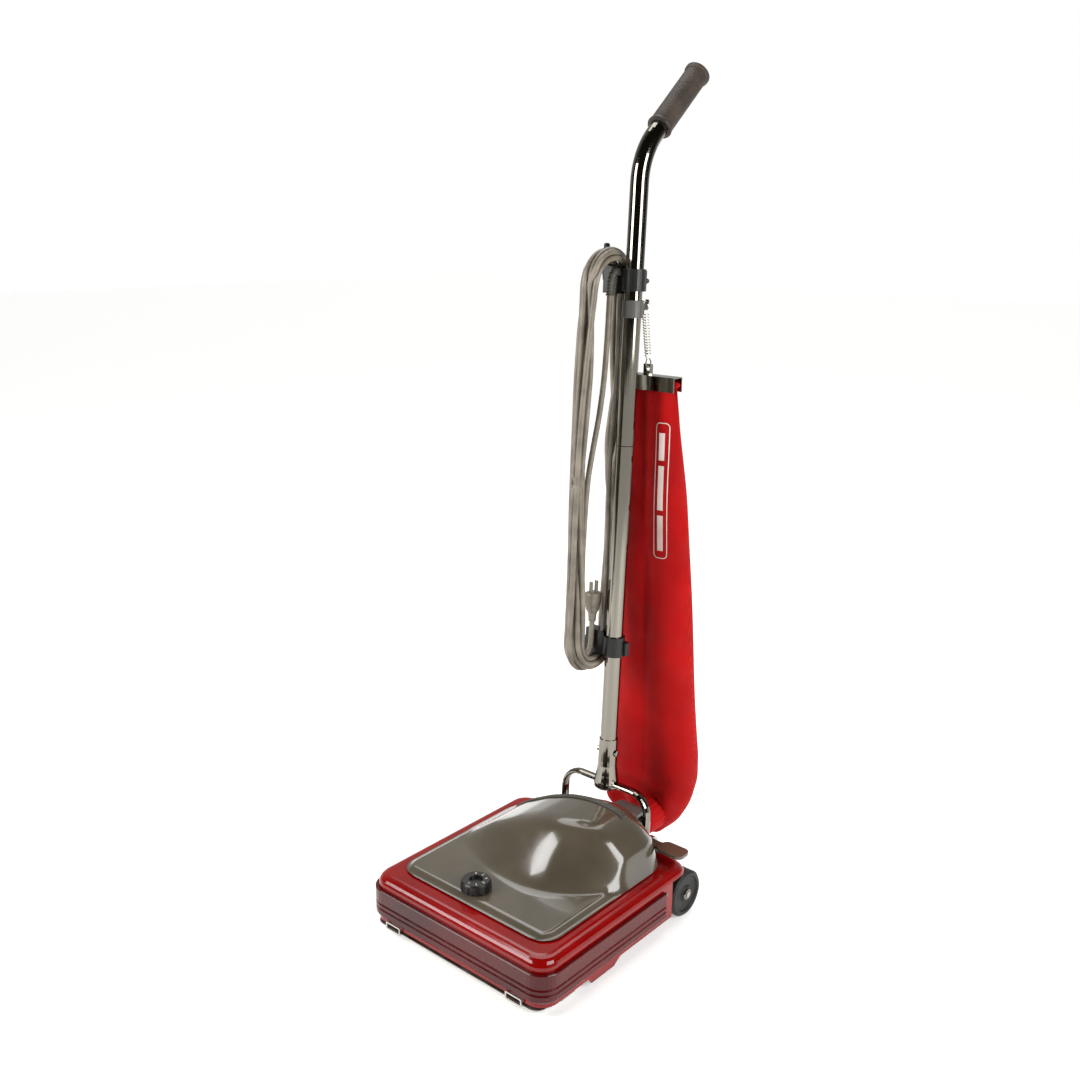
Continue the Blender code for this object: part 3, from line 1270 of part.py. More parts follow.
def bag_ring(z, sides=28):
    half_x, half_y, middle = bag_section(z)
    ring = []
    for k in range(sides):
        a = 2.0 * math.pi * k / sides
        c, s = math.cos(a), math.sin(a)
        x = half_x * math.copysign(abs(c) ** 0.8, c)
        y = half_y * math.copysign(abs(s) ** 0.9, s)
        ring.append((x, FRONT + middle + y, z))
    return ring


def dust_bag():
    """The part of the cloth bag that hangs from the handle."""
    heights = [BAG_SPLIT + GAP, 0.30, 0.36, 0.42, 0.48, 0.54, 0.60, 0.65, 0.70, 0.7445, 0.7455, 0.7660]
    return add_object("dust_bag", loft([bag_ring(z) for z in heights]), bag_cloth())


def bag_foot():
    """The part of the bag that stays at the connector while the handle leans back."""
    heights = [0.045, 0.055, 0.070, 0.090, 0.110, 0.135, 0.160, 0.200, 0.235, BAG_SPLIT]
    foot = add_object("bag_foot", loft([bag_ring(z) for z in heights]), bag_cloth())
    mouth = [(0.0, 0.0), (0.0200, 0.0), (0.0200, 0.070), (0.0, 0.070)]
    sleeve = turned("cutter", [(0.0, 0.0), (0.0260, 0.0), (0.0260, 0.050), (0.0, 0.050)], bag_cloth(),
                    (PORT_X, FRONT + 0.3750, PORT_Z), (0, 1, 0), 24)
    cut(foot, sleeve, "UNION")
    cut(foot, turned("cutter", mouth, bag_cloth(), (PORT_X, FRONT + 0.3600, PORT_Z), (0, 1, 0), 24))
    return foot


# ---------------------------------------------------------------- build
def build():
    clear_scene()
    single = [base_housing, furniture_guard, base_plate, motor_pan, motor_hood, hood_trim_band,
              motor_housing,
              motor_armature, motor_pulley, fan_impeller, fan_housing, exhaust_duct, bag_connector,
              drive_belt,
              brush_roll, rear_axle, front_carriage, front_axle, height_knob, height_cam, pedal_bracket,
              foot_pedal,
              bag_latch, latch_hinge, handle_bail, lower_tube, upper_tube, handle_grip, bail_bolt,
              cord_hook_upper,
              cord_hook_lower, switch_toggle, motor_lead, strain_relief, cord_drop, cord_tail, cord_hank,
              power_plug,
              spring_bracket, bag_spring, bag_slide, dust_bag, bag_foot]
    for make in single:
        make()
    for side in (-1, 1):
        for make in (plate_clip, rear_wheel, axle_nut, front_wheel, brush_end_cap, pivot_bracket,
                     guard_screw):
            make(side)
    for index in range(2):
        bristle_row(index)


build()
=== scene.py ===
"""Looks of the upright vacuum cleaner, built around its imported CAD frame.

Metres, +Z up, the nozzle faces -Y.
"""

import json
import math

import bmesh
import bpy
import numpy as np
from mathutils import Matrix, Vector
from mathutils.bvhtree import BVHTree


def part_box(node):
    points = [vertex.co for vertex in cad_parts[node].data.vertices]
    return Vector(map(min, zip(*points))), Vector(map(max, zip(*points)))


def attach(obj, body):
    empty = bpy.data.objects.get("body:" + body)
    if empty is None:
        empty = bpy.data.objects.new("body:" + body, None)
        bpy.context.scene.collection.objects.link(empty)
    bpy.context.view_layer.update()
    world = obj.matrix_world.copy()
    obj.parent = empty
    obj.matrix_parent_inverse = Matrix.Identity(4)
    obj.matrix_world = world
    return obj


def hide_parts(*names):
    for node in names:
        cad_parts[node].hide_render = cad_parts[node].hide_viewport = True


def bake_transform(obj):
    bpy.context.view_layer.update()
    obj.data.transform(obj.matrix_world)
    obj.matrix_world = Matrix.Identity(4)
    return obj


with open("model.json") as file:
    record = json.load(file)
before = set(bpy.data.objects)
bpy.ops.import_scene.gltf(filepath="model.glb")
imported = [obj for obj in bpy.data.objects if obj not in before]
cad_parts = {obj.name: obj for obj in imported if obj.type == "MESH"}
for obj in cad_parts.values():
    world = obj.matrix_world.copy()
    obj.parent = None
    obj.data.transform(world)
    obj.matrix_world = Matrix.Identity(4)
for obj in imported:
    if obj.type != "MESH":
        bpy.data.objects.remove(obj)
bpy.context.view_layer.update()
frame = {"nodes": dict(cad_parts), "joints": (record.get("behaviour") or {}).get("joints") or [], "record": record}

# ---------------------------------------------------------------- places taken from the frame
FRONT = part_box("furniture_guard")[0][1]
JOINTS = {joint["name"]: joint for joint in frame["joints"]}
PIVOT = Vector(JOINTS["handle_recline"]["pos_m"])
LEAN = math.radians(2.6)
ALONG = Vector((0.0, math.sin(LEAN), math.cos(LEAN)))
BEHIND = Vector((0.0, math.cos(LEAN), -math.sin(LEAN)))
CORD_R = 0.004
LENS_MM = 38.39
CAMERA_PLACE = (0.9663, FRONT - 0.9364, 0.9819)


def on_handle(s, x=0.0, t=0.0):
    """Point at s along the handle from its pivot, x to the side and t behind its axis."""
    return PIVOT + ALONG * s + BEHIND * t + Vector((x, 0.0, 0.0))


def smooth(value):
    """Ease from 0 to 1."""
    value = min(max(value, 0.0), 1.0)
    return value * value * (3.0 - 2.0 * value)


# ---------------------------------------------------------------- camera
def make_camera():
    """Camera at the photograph's angle, in front on the right and a little above."""
    data = bpy.data.cameras.new("camera")
    data.sensor_width = 36.0
    data.lens = LENS_MM
    data.clip_start = 0.02
    data.clip_end = 50.0
    cam = bpy.data.objects.new("camera", data)
    right = Vector((0.75408, 0.65673, 0.00796))
    up = Vector((-0.18249, 0.19787, 0.96309))
    back = Vector((0.63092, -0.72770, 0.26905))
    turn = Matrix((right, up, back)).transposed().to_4x4()
    cam.matrix_world = Matrix.Translation(CAMERA_PLACE) @ turn
    bpy.context.scene.collection.objects.link(cam)
    bpy.context.scene.camera = cam


# ---------------------------------------------------------------- mesh helpers
def link(name, mesh, material, smooth_angle=40.0):
    """Put a mesh in the scene, smooth except where its faces turn by more than the angle."""
    mesh.materials.append(material)
    mesh.shade_smooth()
    mesh.set_sharp_from_angle(angle=math.radians(smooth_angle))
    obj = bpy.data.objects.new(name, mesh)
    bpy.context.scene.collection.objects.link(obj)
    return obj


def from_bmesh(name, bm, material, smooth_angle=40.0):
    """Object from a bmesh, with its doubles merged and its faces turned outward."""
    bmesh.ops.remove_doubles(bm, verts=bm.verts[:], dist=1e-6)
    bmesh.ops.recalc_face_normals(bm, faces=bm.faces[:])
    mesh = bpy.data.meshes.new(name)
    bm.to_mesh(mesh)
    bm.free()
    return link(name, mesh, material, smooth_angle)


def skin(rings, closed_path=False, caps=True):
    """Faces between rings of points; the two ends are capped unless the path closes."""
    bm = bmesh.new()
    loops = [[bm.verts.new(p) for p in ring] for ring in rings]
    pairs = list(zip(loops, loops[1:]))
    if closed_path:
        pairs.append((loops[-1], loops[0]))
    for a, b in pairs:
        for i in range(len(a)):
            j = (i + 1) % len(a)
            bm.faces.new((a[i], a[j], b[j], b[i]))
    if caps and not closed_path:
        bm.faces.new(loops[0])
        bm.faces.new(loops[-1])
    return bm


def tube_rings(path, radii, sides=12):
    """Round sections along a path, turned with it without twist."""
    points = [Vector(p) for p in path]
    tangents = []
    for i in range(len(points)):
        tangents.append((points[min(i + 1, len(points) - 1)] - points[max(i - 1, 0)]).normalized())
    side = tangents[0].orthogonal().normalized()
    rings = []
    for centre, tangent, radius in zip(points, tangents, radii):
        side = (side - tangent * side.dot(tangent)).normalized()
        up = tangent.cross(side)
        rings.append([centre + (side * math.cos(a) + up * math.sin(a)) * radius
                      for a in (2.0 * math.pi * k / sides for k in range(sides))])
    return rings


def through(points, spacing):
    """Catmull-Rom curve through points, sampled about every spacing."""
    pts = [Vector(p) for p in points]
    pts = [pts[0] * 2 - pts[1]] + pts + [pts[-1] * 2 - pts[-2]]
    out = []
    for p0, p1, p2, p3 in zip(pts, pts[1:], pts[2:], pts[3:]):
        count = max(1, round((p2 - p1).length / spacing))
        for k in range(count):
            t = k / count
            out.append(0.5 * ((2 * p1) + (p2 - p0) * t + (2 * p0 - 5 * p1 + 4 * p2 - p3) * t * t
                              + (3 * p1 - p0 - 3 * p2 + p3) * t ** 3))
    out.append(pts[-2])
    return out


# ---------------------------------------------------------------- materials
class Nodes:
    """Short way to write a node material."""

    def __init__(self, name):
        """Start from a Principled BSDF and the object's own coordinates."""
        self.mat = bpy.data.materials.new(name)
        self.mat.use_nodes = True
        self.tree = self.mat.node_tree
        self.shader = self.tree.nodes["Principled BSDF"]
        coords = self.tree.nodes.new("ShaderNodeTexCoord")
        self.place = coords.outputs["Object"]

    def set(self, **values):
        """Set uniform values on the shader's own sockets."""
        for key, value in values.items():
            self.shader.inputs[key.replace("_", " ")].default_value = value
        return self

    def new(self, kind, **inputs):
        """New node; a key of i0, i1 and so on names an input by its number."""
        node = self.tree.nodes.new(kind)
        for key, value in inputs.items():
            numbered = key[0] == "i" and key[1:].isdigit()
            socket = node.inputs[int(key[1:]) if numbered else key.replace("_", " ")]
            if hasattr(value, "is_output"):
                self.tree.links.new(value, socket)
            else:
                socket.default_value = value
        return node

    def noise(self, scale, detail=3.0, rough=0.5, vector=None):
        """Noise between 0 and 1."""
        return self.new("ShaderNodeTexNoise", Vector=vector or self.place, Scale=scale, Detail=detail,
                        Roughness=rough).outputs["Fac"]

    def stretched(self, scale):
        """Object coordinates scaled differently along each axis."""
        node = self.new("ShaderNodeMapping", Vector=self.place, Scale=scale)
        return node.outputs["Vector"]

    def math(self, operation, a, b=0.0):
        """Result of one Math node."""
        node = self.new("ShaderNodeMath", i0=a, i1=b)
        node.operation = operation
        return node.outputs[0]

    def remap(self, value, low, high, to_low, to_high):
        """Value moved from one range to another."""
        return self.new("ShaderNodeMapRange", Value=value, From_Min=low, From_Max=high, To_Min=to_low,
                        To_Max=to_high).outputs["Result"]

    def tint(self, factor, dark, light):
        """Colour between dark and light."""
        node = self.tree.nodes.new("ShaderNodeMix")
        node.data_type = "RGBA"
        self.tree.links.new(factor, node.inputs["Factor"])
        node.inputs["A"].default_value = (*dark, 1.0)
        node.inputs["B"].default_value = (*light, 1.0)
        return node.outputs["Result"]

    def use(self, socket, value):
        """Link a value to one of the shader's sockets."""
        self.tree.links.new(value, self.shader.inputs[socket])
        return self

    def bump(self, height, distance, strength=1.0):
        """Add relief on top of any relief already there."""
        node = self.new("ShaderNodeBump", Height=height, Distance=distance, Strength=strength)
        previous = self.shader.inputs["Normal"]
        if previous.is_linked:
            self.tree.links.new(previous.links[0].from_socket, node.inputs["Normal"])
        self.tree.links.new(node.outputs["Normal"], previous)
        return self


def plastic(name, dark, light, rough, coat=0.0, grain=0.00004, gloss=0.5):
    """Moulded plastic: slightly uneven colour and gloss, fine grain, faint flow ripple."""
    n = Nodes(name)
    patch = n.noise(14.0, 4.0)
    n.use("Base Color", n.tint(n.remap(patch, 0.35, 0.65, 0.0, 1.0), dark, light))
    n.use("Roughness", n.remap(n.noise(60.0, 5.0), 0.3, 0.7, rough * 0.85, rough * 1.2))
    n.bump(n.noise(900.0, 2.0), grain)
    n.bump(n.noise(18.0, 1.0), 0.0003, 0.25)
    return n.set(Coat_Weight=coat, Coat_Roughness=0.06, Specular_IOR_Level=gloss).mat


def metal(name, colour, rough, scratch=0.0):
    """Bare or plated metal with uneven gloss and fine scratches along z."""
    n = Nodes(name)
    fine = n.noise(40.0, 6.0)
    n.use("Roughness", n.remap(fine, 0.3, 0.7, rough * 0.7, rough * 1.5))
    n.set(Base_Color=(*colour, 1.0), Metallic=1.0)
    if scratch > 0.0:
        n.bump(n.noise(300.0, 3.0, 0.6, n.stretched((1.0, 1.0, 0.12))), scratch)
    return n.mat


def rubber(name, colour, rough, grain=0.0001):
    """Rubber with a little dust and a fine grain."""
    n = Nodes(name)
    dust = n.noise(9.0, 5.0)
    light = tuple(min(1.0, c * 1.5 + 0.006) for c in colour)
    n.use("Base Color", n.tint(n.remap(dust, 0.4, 0.75, 0.0, 1.0), colour, light))
    n.use("Roughness", n.remap(n.noise(50.0, 3.0), 0.3, 0.7, rough * 0.85, min(1.0, rough * 1.15)))
    return n.bump(n.noise(1400.0, 2.0), grain).set(Specular_IOR_Level=0.35).mat


def grip_material():
    """Dimpled dark brown grip rubber."""
    n = Nodes("grip_rubber_look")
    cells = n.new("ShaderNodeTexVoronoi", Vector=n.place, Scale=420.0).outputs["Distance"]
    n.use("Base Color", n.tint(n.remap(n.noise(30.0, 4.0), 0.35, 0.7, 0.0, 1.0), (0.020, 0.013, 0.008),
                               (0.055, 0.036, 0.022)))
    n.bump(cells, 0.0005, 0.8)
    return n.set(Roughness=0.55).mat


def cloth_material():
    """Tight plain weave with a little slub and uneven colour."""
    n = Nodes("bag_cloth_look")
    across = n.new("ShaderNodeTexWave", Vector=n.place, Scale=320.0, Distortion=0.6, Detail=1.0)
    down = n.new("ShaderNodeTexWave", Vector=n.place, Scale=320.0, Distortion=0.6, Detail=1.0)
    down.bands_direction = "Z"
    weave = n.math("MULTIPLY", across.outputs["Fac"], down.outputs["Fac"])
    shade = n.math("ADD", n.math("MULTIPLY", n.noise(11.0, 5.0), 0.55), n.math("MULTIPLY", weave, 0.45))
    n.use("Base Color", n.tint(n.remap(shade, 0.25, 0.72, 0.0, 1.0), (0.28, 0.0012, 0.0012),
                               (0.56, 0.003, 0.004)))
    n.use("Roughness", n.remap(n.noise(25.0, 3.0), 0.3, 0.7, 0.62, 0.85))
    n.bump(weave, 0.00035, 0.7)
    n.bump(n.noise(70.0, 4.0, 0.6, n.stretched((1.0, 1.0, 0.35))), 0.0012, 0.35)
    n.set(Sheen_Weight=0.08, Sheen_Roughness=0.4, Sheen_Tint=(1.0, 0.15, 0.1, 1.0), Specular_IOR_Level=0.15)
    return n.mat


def cord_material():
    """Vinyl jacket, slightly dusty, with a soft gloss."""
    n = Nodes("cord_vinyl_look")
    n.use("Base Color", n.tint(n.remap(n.noise(35.0, 4.0), 0.35, 0.7, 0.0, 1.0), (0.125, 0.105, 0.078),
                               (0.235, 0.205, 0.160)))
    n.use("Roughness", n.remap(n.noise(90.0, 3.0), 0.3, 0.7, 0.36, 0.52))
    return n.bump(n.noise(600.0, 2.0), 0.00008).mat


def wood_material():
    """Beech with its grain along the brush roll."""
    n = Nodes("beech_look")
    grain = n.noise(70.0, 5.0, 0.6, n.stretched((0.06, 1.0, 1.0)))
    n.use("Base Color", n.tint(n.remap(grain, 0.35, 0.65, 0.0, 1.0), (0.36, 0.21, 0.10), (0.60, 0.41, 0.24)))
    return n.bump(grain, 0.0002).set(Roughness=0.5).mat


def guard_material():
    """Soft translucent maroon vinyl."""
    n = Nodes("guard_vinyl_look")
    n.use("Base Color", n.tint(n.remap(n.noise(7.0, 4.0), 0.35, 0.65, 0.0, 1.0), (0.040, 0.0015, 0.002),
                               (0.085, 0.004, 0.004)))
    n.use("Roughness", n.remap(n.noise(40.0, 4.0), 0.3, 0.7, 0.20, 0.34))
    n.bump(n.noise(30.0, 2.0, 0.5, n.stretched((1.0, 1.0, 3.0))), 0.0004, 0.4)
    return n.set(Coat_Weight=0.15, Coat_Roughness=0.12, Specular_IOR_Level=0.22, Subsurface_Weight=0.1,
                 Subsurface_Scale=0.004).mat


def make_materials():
    """Detailed materials by record slot, and those of a few single pieces."""
    return {
        "red_plastic": plastic("red_plastic_look", (0.165, 0.0012, 0.001), (0.225, 0.0018, 0.0014), 0.13,
                               0.12, 0.00003, 0.30),
        "hood_plastic": plastic("hood_plastic_look", (0.062, 0.051, 0.034), (0.078, 0.064, 0.044), 0.17,
                                0.45, 0.00003, 0.45),
        "black_plastic": plastic("black_plastic_look", (0.004, 0.004, 0.0035), (0.009, 0.0085, 0.0075), 0.34,
                                 0.0, 0.00004, 0.35),
        "guard_vinyl": guard_material(),
        "chrome": metal("chrome_look", (0.21, 0.195, 0.165), 0.08, 0.00002),
        "zinc_steel": metal("zinc_steel_look", (0.46, 0.45, 0.42), 0.34, 0.00006),
        "black_rubber": rubber("black_rubber_look", (0.009, 0.009, 0.008), 0.55),
        "grip_rubber": grip_material(),
        "bag_cloth": cloth_material(),
        "cord_vinyl": cord_material(),
        "motor_metal": metal("motor_metal_look", (0.50, 0.50, 0.50), 0.42, 0.0001),
        "beech": wood_material(),
        "band": plastic("hood_band_look", (0.050, 0.044, 0.034), (0.066, 0.058, 0.046), 0.42),
        "grey": plastic("grey_plastic_look", (0.060, 0.057, 0.050), (0.085, 0.080, 0.071), 0.38),
        "dark_chrome": metal("dark_chrome_look", (0.26, 0.25, 0.22), 0.10, 0.00002),
        "relief": rubber("strain_relief_look", (0.055, 0.052, 0.040), 0.5),
        "ink": plastic("ink_look", (0.50, 0.38, 0.34), (0.70, 0.58, 0.54), 0.6, 0.0, 0.00002),
    }


def dress_frame(looks):
    """Every CAD node takes the look of its record slot, apart from four that match the photograph better."""
    slots = {part["node"]: part["material_slot"] for part in frame["record"]["subparts"]}
    slots.update({"spring_bracket": "grey", "bag_latch": "grey", "foot_pedal": "hood_plastic",
                  "bag_slide": "dark_chrome"})
    for name, obj in frame["nodes"].items():
        for index in range(len(obj.material_slots)):
            obj.material_slots[index].material = looks[slots[name]]


# ---------------------------------------------------------------- mains cord
HANK_X = -0.0316          # middle of the hank beside the tube
HANK_T = -0.0168
HANK_MID = 0.0401         # radius of the turns' middle line at the ends
HANK_LOW = 0.2455
HANK_HIGH = 0.8600
HANK_HALF = 0.0516
TURNS = 7                 # the first one starts part of the way round
STATIONS = 64
START_SHARE = 0.40        # where on its way round the first turn starts
FRONT_SHARE = 0.405       # share of a turn that runs down the front
CORD_GAP = 0.0086         # least distance between the middle lines of two turns
EXIT = (0.7944, -0.0265, -0.0188)
PLUG = (0.3207, -0.0330, -0.0130)


def racetrack(part):
    """Point and outward direction in (t, s) at a share of the way round the hooks.

    The way goes down in front, under the lower hook, up behind and over the upper hook.
    """
    straight = (HANK_HIGH - HANK_LOW) - 2.0 * HANK_HALF
    bend = math.pi * HANK_MID
    distance = part * 2.0 * (straight + bend)
    top, low = HANK_HIGH - HANK_HALF, HANK_LOW + HANK_HALF
    if distance < straight:
        return (HANK_T - HANK_MID, top - distance), (-1.0, 0.0)
    distance -= straight
    if distance < bend:
        a = math.pi + distance / HANK_MID
        return (HANK_T + HANK_MID * math.cos(a), low + HANK_MID * math.sin(a)), (math.cos(a), math.sin(a))
    distance -= bend
    if distance < straight:
        return (HANK_T + HANK_MID, low + distance), (1.0, 0.0)
    a = (distance - straight) / HANK_MID
    return (HANK_T + HANK_MID * math.cos(a), top + HANK_MID * math.sin(a)), (math.cos(a), math.sin(a))


def turn_offsets():
    """Sideways and outward offsets of every turn at every station, kept a cord's width apart."""
    columns = [-0.0100, 0.0, 0.0095]
    offsets = np.zeros((TURNS, STATIONS, 2))
    for k in range(TURNS):
        for m in range(STATIONS):
            q = 2.0 * math.pi * m / STATIONS
            side = columns[(k * 2 + (m * 3 // STATIONS)) % 3]
            layer = (-0.0065, 0.0055, -0.0010)[(k + m * 2 // STATIONS) % 3]
            sway = 0.0035 * math.sin(q * (1.0 + k % 3) + 1.9 * k)
            offsets[k, m] = (side + sway, layer + 0.003 * math.sin(q * 2.0 + 2.3 * k))
    flat = offsets.reshape(-1, 2)
    for _ in range(60):
        for _ in range(2):
            flat[1:-1] = 0.5 * flat[1:-1] + 0.25 * (flat[:-2] + flat[2:])
        for k in range(TURNS):
            for other in range(k + 1, TURNS):
                gap = offsets[k] - offsets[other]
                reach = np.linalg.norm(gap, axis=1, keepdims=True) + 1e-9
                push = np.clip(CORD_GAP - reach, 0.0, None) * 0.5 * gap / reach
                offsets[k] += push
                offsets[other] -= push
        offsets[..., 0] = np.clip(offsets[..., 0], -0.0118, 0.0118)
        offsets[..., 1] = np.clip(offsets[..., 1], -0.0085, 0.0085)
    return offsets


def cord_route():
    """The whole cord: down from the sleeve, round the hooks about 6.6 times, and up into the plug."""
    offsets = turn_offsets()
    route = [on_handle(*EXIT)]
    for s, x, t in ((0.780, -0.0265, -0.0188), (0.735, -0.0268, -0.0190), (0.680, -0.0275, -0.0208),
                    (0.630, -0.0285, -0.0262), (0.585, -0.0292, -0.0350), (0.540, -0.0300, -0.0425),
                    (0.490, -0.0305, -0.0452), (0.430, -0.0310, -0.0455), (0.370, -0.0315, -0.0452)):
        route.append(on_handle(s, x, t))
    first = int(STATIONS * START_SHARE)
    for k in range(TURNS):
        for m in range(STATIONS):
            if k == 0 and m < first:
                continue
            (t, s), (out_t, out_s) = racetrack(m / STATIONS)
            side, outward = offsets[k, m]
            in_front = m < STATIONS * FRONT_SHARE
            front = math.sin(math.pi * min(1.0, m / STATIONS / FRONT_SHARE)) if in_front else 0.0
            outward += 0.0070 * front ** 2 * (1.0 + math.sin(1.7 * k))
            route.append(on_handle(s + out_s * outward, HANK_X + side, t + out_t * outward))
    for s, x, t in ((0.780, -0.0400, -0.0590), (0.700, -0.0415, -0.0640), (0.600, -0.0400, -0.0660),
                    (0.500, -0.0380, -0.0675), (0.420, -0.0360, -0.0665), (0.360, -0.0345, -0.0650),
                    (0.320, -0.0335, -0.0635)):
        route.append(on_handle(s, x, t))
    for k in range(9):
        a = math.pi * (1.0 + k / 8)
        route.append(on_handle(0.2900 + 0.0248 * math.sin(a), -0.0330, -0.0378 + 0.0248 * math.cos(a)))
    for s, x, t in ((0.3050, -0.0330, -0.0130), PLUG):
        route.append(on_handle(s, x, t))
    return through(route, 0.008)


def make_cord(looks):
    """Mains cord as one curve; the plug on its end is the CAD's own node."""
    points = cord_route()
    curve = bpy.data.curves.new("mains_cord", "CURVE")
    curve.dimensions = "3D"
    curve.bevel_depth = CORD_R
    curve.bevel_resolution = 3
    curve.use_fill_caps = True
    spline = curve.splines.new("POLY")
    spline.points.add(len(points) - 1)
    for target, point in zip(spline.points, points):
        target.co = (*point, 1.0)
    spline.use_smooth = True
    curve.materials.append(looks["cord_vinyl"])
    cord = bpy.data.objects.new("mains_cord", curve)
    bpy.context.scene.collection.objects.link(cord)
    length = sum((b - a).length for a, b in zip(points, points[1:]))
    print("cord length", round(length, 3))
    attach(cord, "handle")
    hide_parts("cord_drop", "cord_tail", "cord_hank")


# ---------------------------------------------------------------- hood
HOOD_FRONT = FRONT + 0.036
HOOD_REAR = FRONT + 0.317
HOOD_HALF = 0.140
HOOD_CORNER = 0.030
HOOD_REAR_R = 0.055
HOOD_EDGE = 0.0864
HOOD_DECK = 0.092
DOME_TOP = 0.166
BAND_Y = FRONT + 0.256
BAND_WIDTH = 0.012
BAND_LEFT = -0.112
BAND_LENGTH = 0.204
HOOD_WALL = 0.0026
HOOD_INSET = 0.0024
HOOD_SEAT = 0.0843        # nothing of the hood goes below this height
HOOD_ROWS = 110
HOOD_COLUMNS = 120
PEDAL_NOTCH = (0.0095, 0.0115)
HOOD_RISE_X = (-0.140, -0.124, -0.087, -0.046, -0.006, 0.031, 0.0545, 0.080, 0.105, 0.126, 0.140)
HOOD_RISE = (0.0, 0.04, 0.38, 0.66, 0.86, 0.98, 1.0, 0.95, 0.76, 0.47, 0.0)


def hood_half_width(y):
    """Half width of the hood in plan, with rounded corners."""
    half = HOOD_HALF
    front = y - HOOD_FRONT
    if front < HOOD_CORNER:
        half = HOOD_HALF - HOOD_CORNER + math.sqrt(max(0.0, HOOD_CORNER ** 2 - (HOOD_CORNER - front) ** 2))
    rear = HOOD_REAR - y
    if rear < HOOD_REAR_R:
        half = HOOD_HALF - HOOD_REAR_R + math.sqrt(max(0.0, HOOD_REAR_R ** 2 - (HOOD_REAR_R - rear) ** 2))
    return half


def arch_table():
    """The dome's cross-section, rounded everywhere but at the crease along its right side."""
    xs = np.linspace(-HOOD_HALF, HOOD_HALF, 561)
    raw = np.interp(xs, HOOD_RISE_X, HOOD_RISE)
    left = xs <= 0.126
    reach = 26
    kernel = np.hanning(2 * reach + 1)
    kernel /= kernel.sum()
    line = raw[left]
    ends = np.concatenate([2.0 * line[0] - line[reach:0:-1], line, 2.0 * line[-1] - line[-2:-reach - 2:-1]])
    raw[left] = np.convolve(ends, kernel, "valid")
    return xs, np.clip(raw, 0.0, None)


ARCH = arch_table()


def hood_height(x, y):
    """Top surface of the hood: a low deck, and a dome that leans to the fan's side."""
    half = hood_half_width(y)
    inward = min(half - abs(x), y - HOOD_FRONT)
    deck = HOOD_EDGE + (HOOD_DECK - HOOD_EDGE) * smooth(inward / 0.014)
    across = x * HOOD_HALF / half
    spread = 0.067 * (max(across - 0.03, 0.0) / 0.096) ** 2 + 0.050 * (max(0.03 - across, 0.0) / 0.16) ** 2
    front = smooth((y - FRONT - 0.098 - spread) / 0.105)
    arch = float(np.interp(across, *ARCH))
    soft = 0.06
    rise = -soft * math.log(math.exp(-arch / soft) + math.exp(-front / soft))
    rear_fall = 0.030 * smooth((y - FRONT - 0.250) / 0.075) ** 1.5
    return deck + (DOME_TOP - HOOD_DECK - rear_fall) * max(rise, 0.0) / 0.96


def shell_between(top, bottom):
    """Closed solid between two grids of the same size."""
    bm = bmesh.new()
    upper = [[bm.verts.new(p) for p in row] for row in top]
    lower = [[bm.verts.new(p) for p in row] for row in bottom]
    rows, cols = len(top), len(top[0])
    for grid in (upper, lower):
        for r in range(rows - 1):
            for c in range(cols - 1):
                bm.faces.new((grid[r][c], grid[r][c + 1], grid[r + 1][c + 1], grid[r + 1][c]))
    rim = [(0, c) for c in range(cols)] + [(r, cols - 1) for r in range(1, rows)]
    rim += [(rows - 1, c) for c in range(cols - 2, -1, -1)] + [(r, 0) for r in range(rows - 2, 0, -1)]
    for (r0, c0), (r1, c1) in zip(rim, rim[1:] + rim[:1]):
        bm.faces.new((upper[r0][c0], upper[r1][c1], lower[r1][c1], lower[r0][c0]))
    return bm


def make_hood(looks):
    """Hood shell with its notch for the pedal bracket, and the ribbed band over the dome."""
    pedal_x, pedal_y, _ = JOINTS["pedal_press"]["pos_m"]
    grids = []
    for drop, inset in ((0.0, 0.0), (HOOD_WALL, HOOD_INSET)):
        grid = []
        for r in range(HOOD_ROWS + 1):
            y = HOOD_FRONT + (HOOD_REAR - HOOD_FRONT) * r / HOOD_ROWS
            half = hood_half_width(y)
            right = min(half, pedal_x - PEDAL_NOTCH[0]) if y > pedal_y - PEDAL_NOTCH[1] else half
            row = []
            for c in range(HOOD_COLUMNS + 1):
                x = -half + (half + right) * c / HOOD_COLUMNS
                z = max(hood_height(x, y) - drop, HOOD_SEAT)
                row.append((x * (half - inset) / half, y + inset * (1.0 - r / HOOD_ROWS), z))
            grid.append(row)
        grids.append(grid)
    hood = from_bmesh("hood_shell", shell_between(*grids), looks["hood_plastic"], 32.0)
    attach(hood, "base")
    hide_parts("motor_hood")
    top, bottom = [], []
    for r in range(25):
        share = r / 24
        y = BAND_Y + BAND_WIDTH * share
        rib = 0.0005 * math.cos(2.0 * math.pi * 5.0 * share)
        crown = 0.0009 * (1.0 - (2.0 * share - 1.0) ** 4)
        line = [BAND_LEFT + BAND_LENGTH * c / 90 for c in range(91)]
        top.append([(x, y, hood_height(x, y) + 0.0013 + crown + rib) for x in line])
        bottom.append([(x, y, hood_height(x, y) + 0.0006) for x in line])
    band = from_bmesh("hood_band", shell_between(top, bottom), looks["band"], 50.0)
    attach(band, "base")
    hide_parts("hood_trim_band")


NUMBER_RING = 0.0143
NUMBER_SIZE = 0.0062


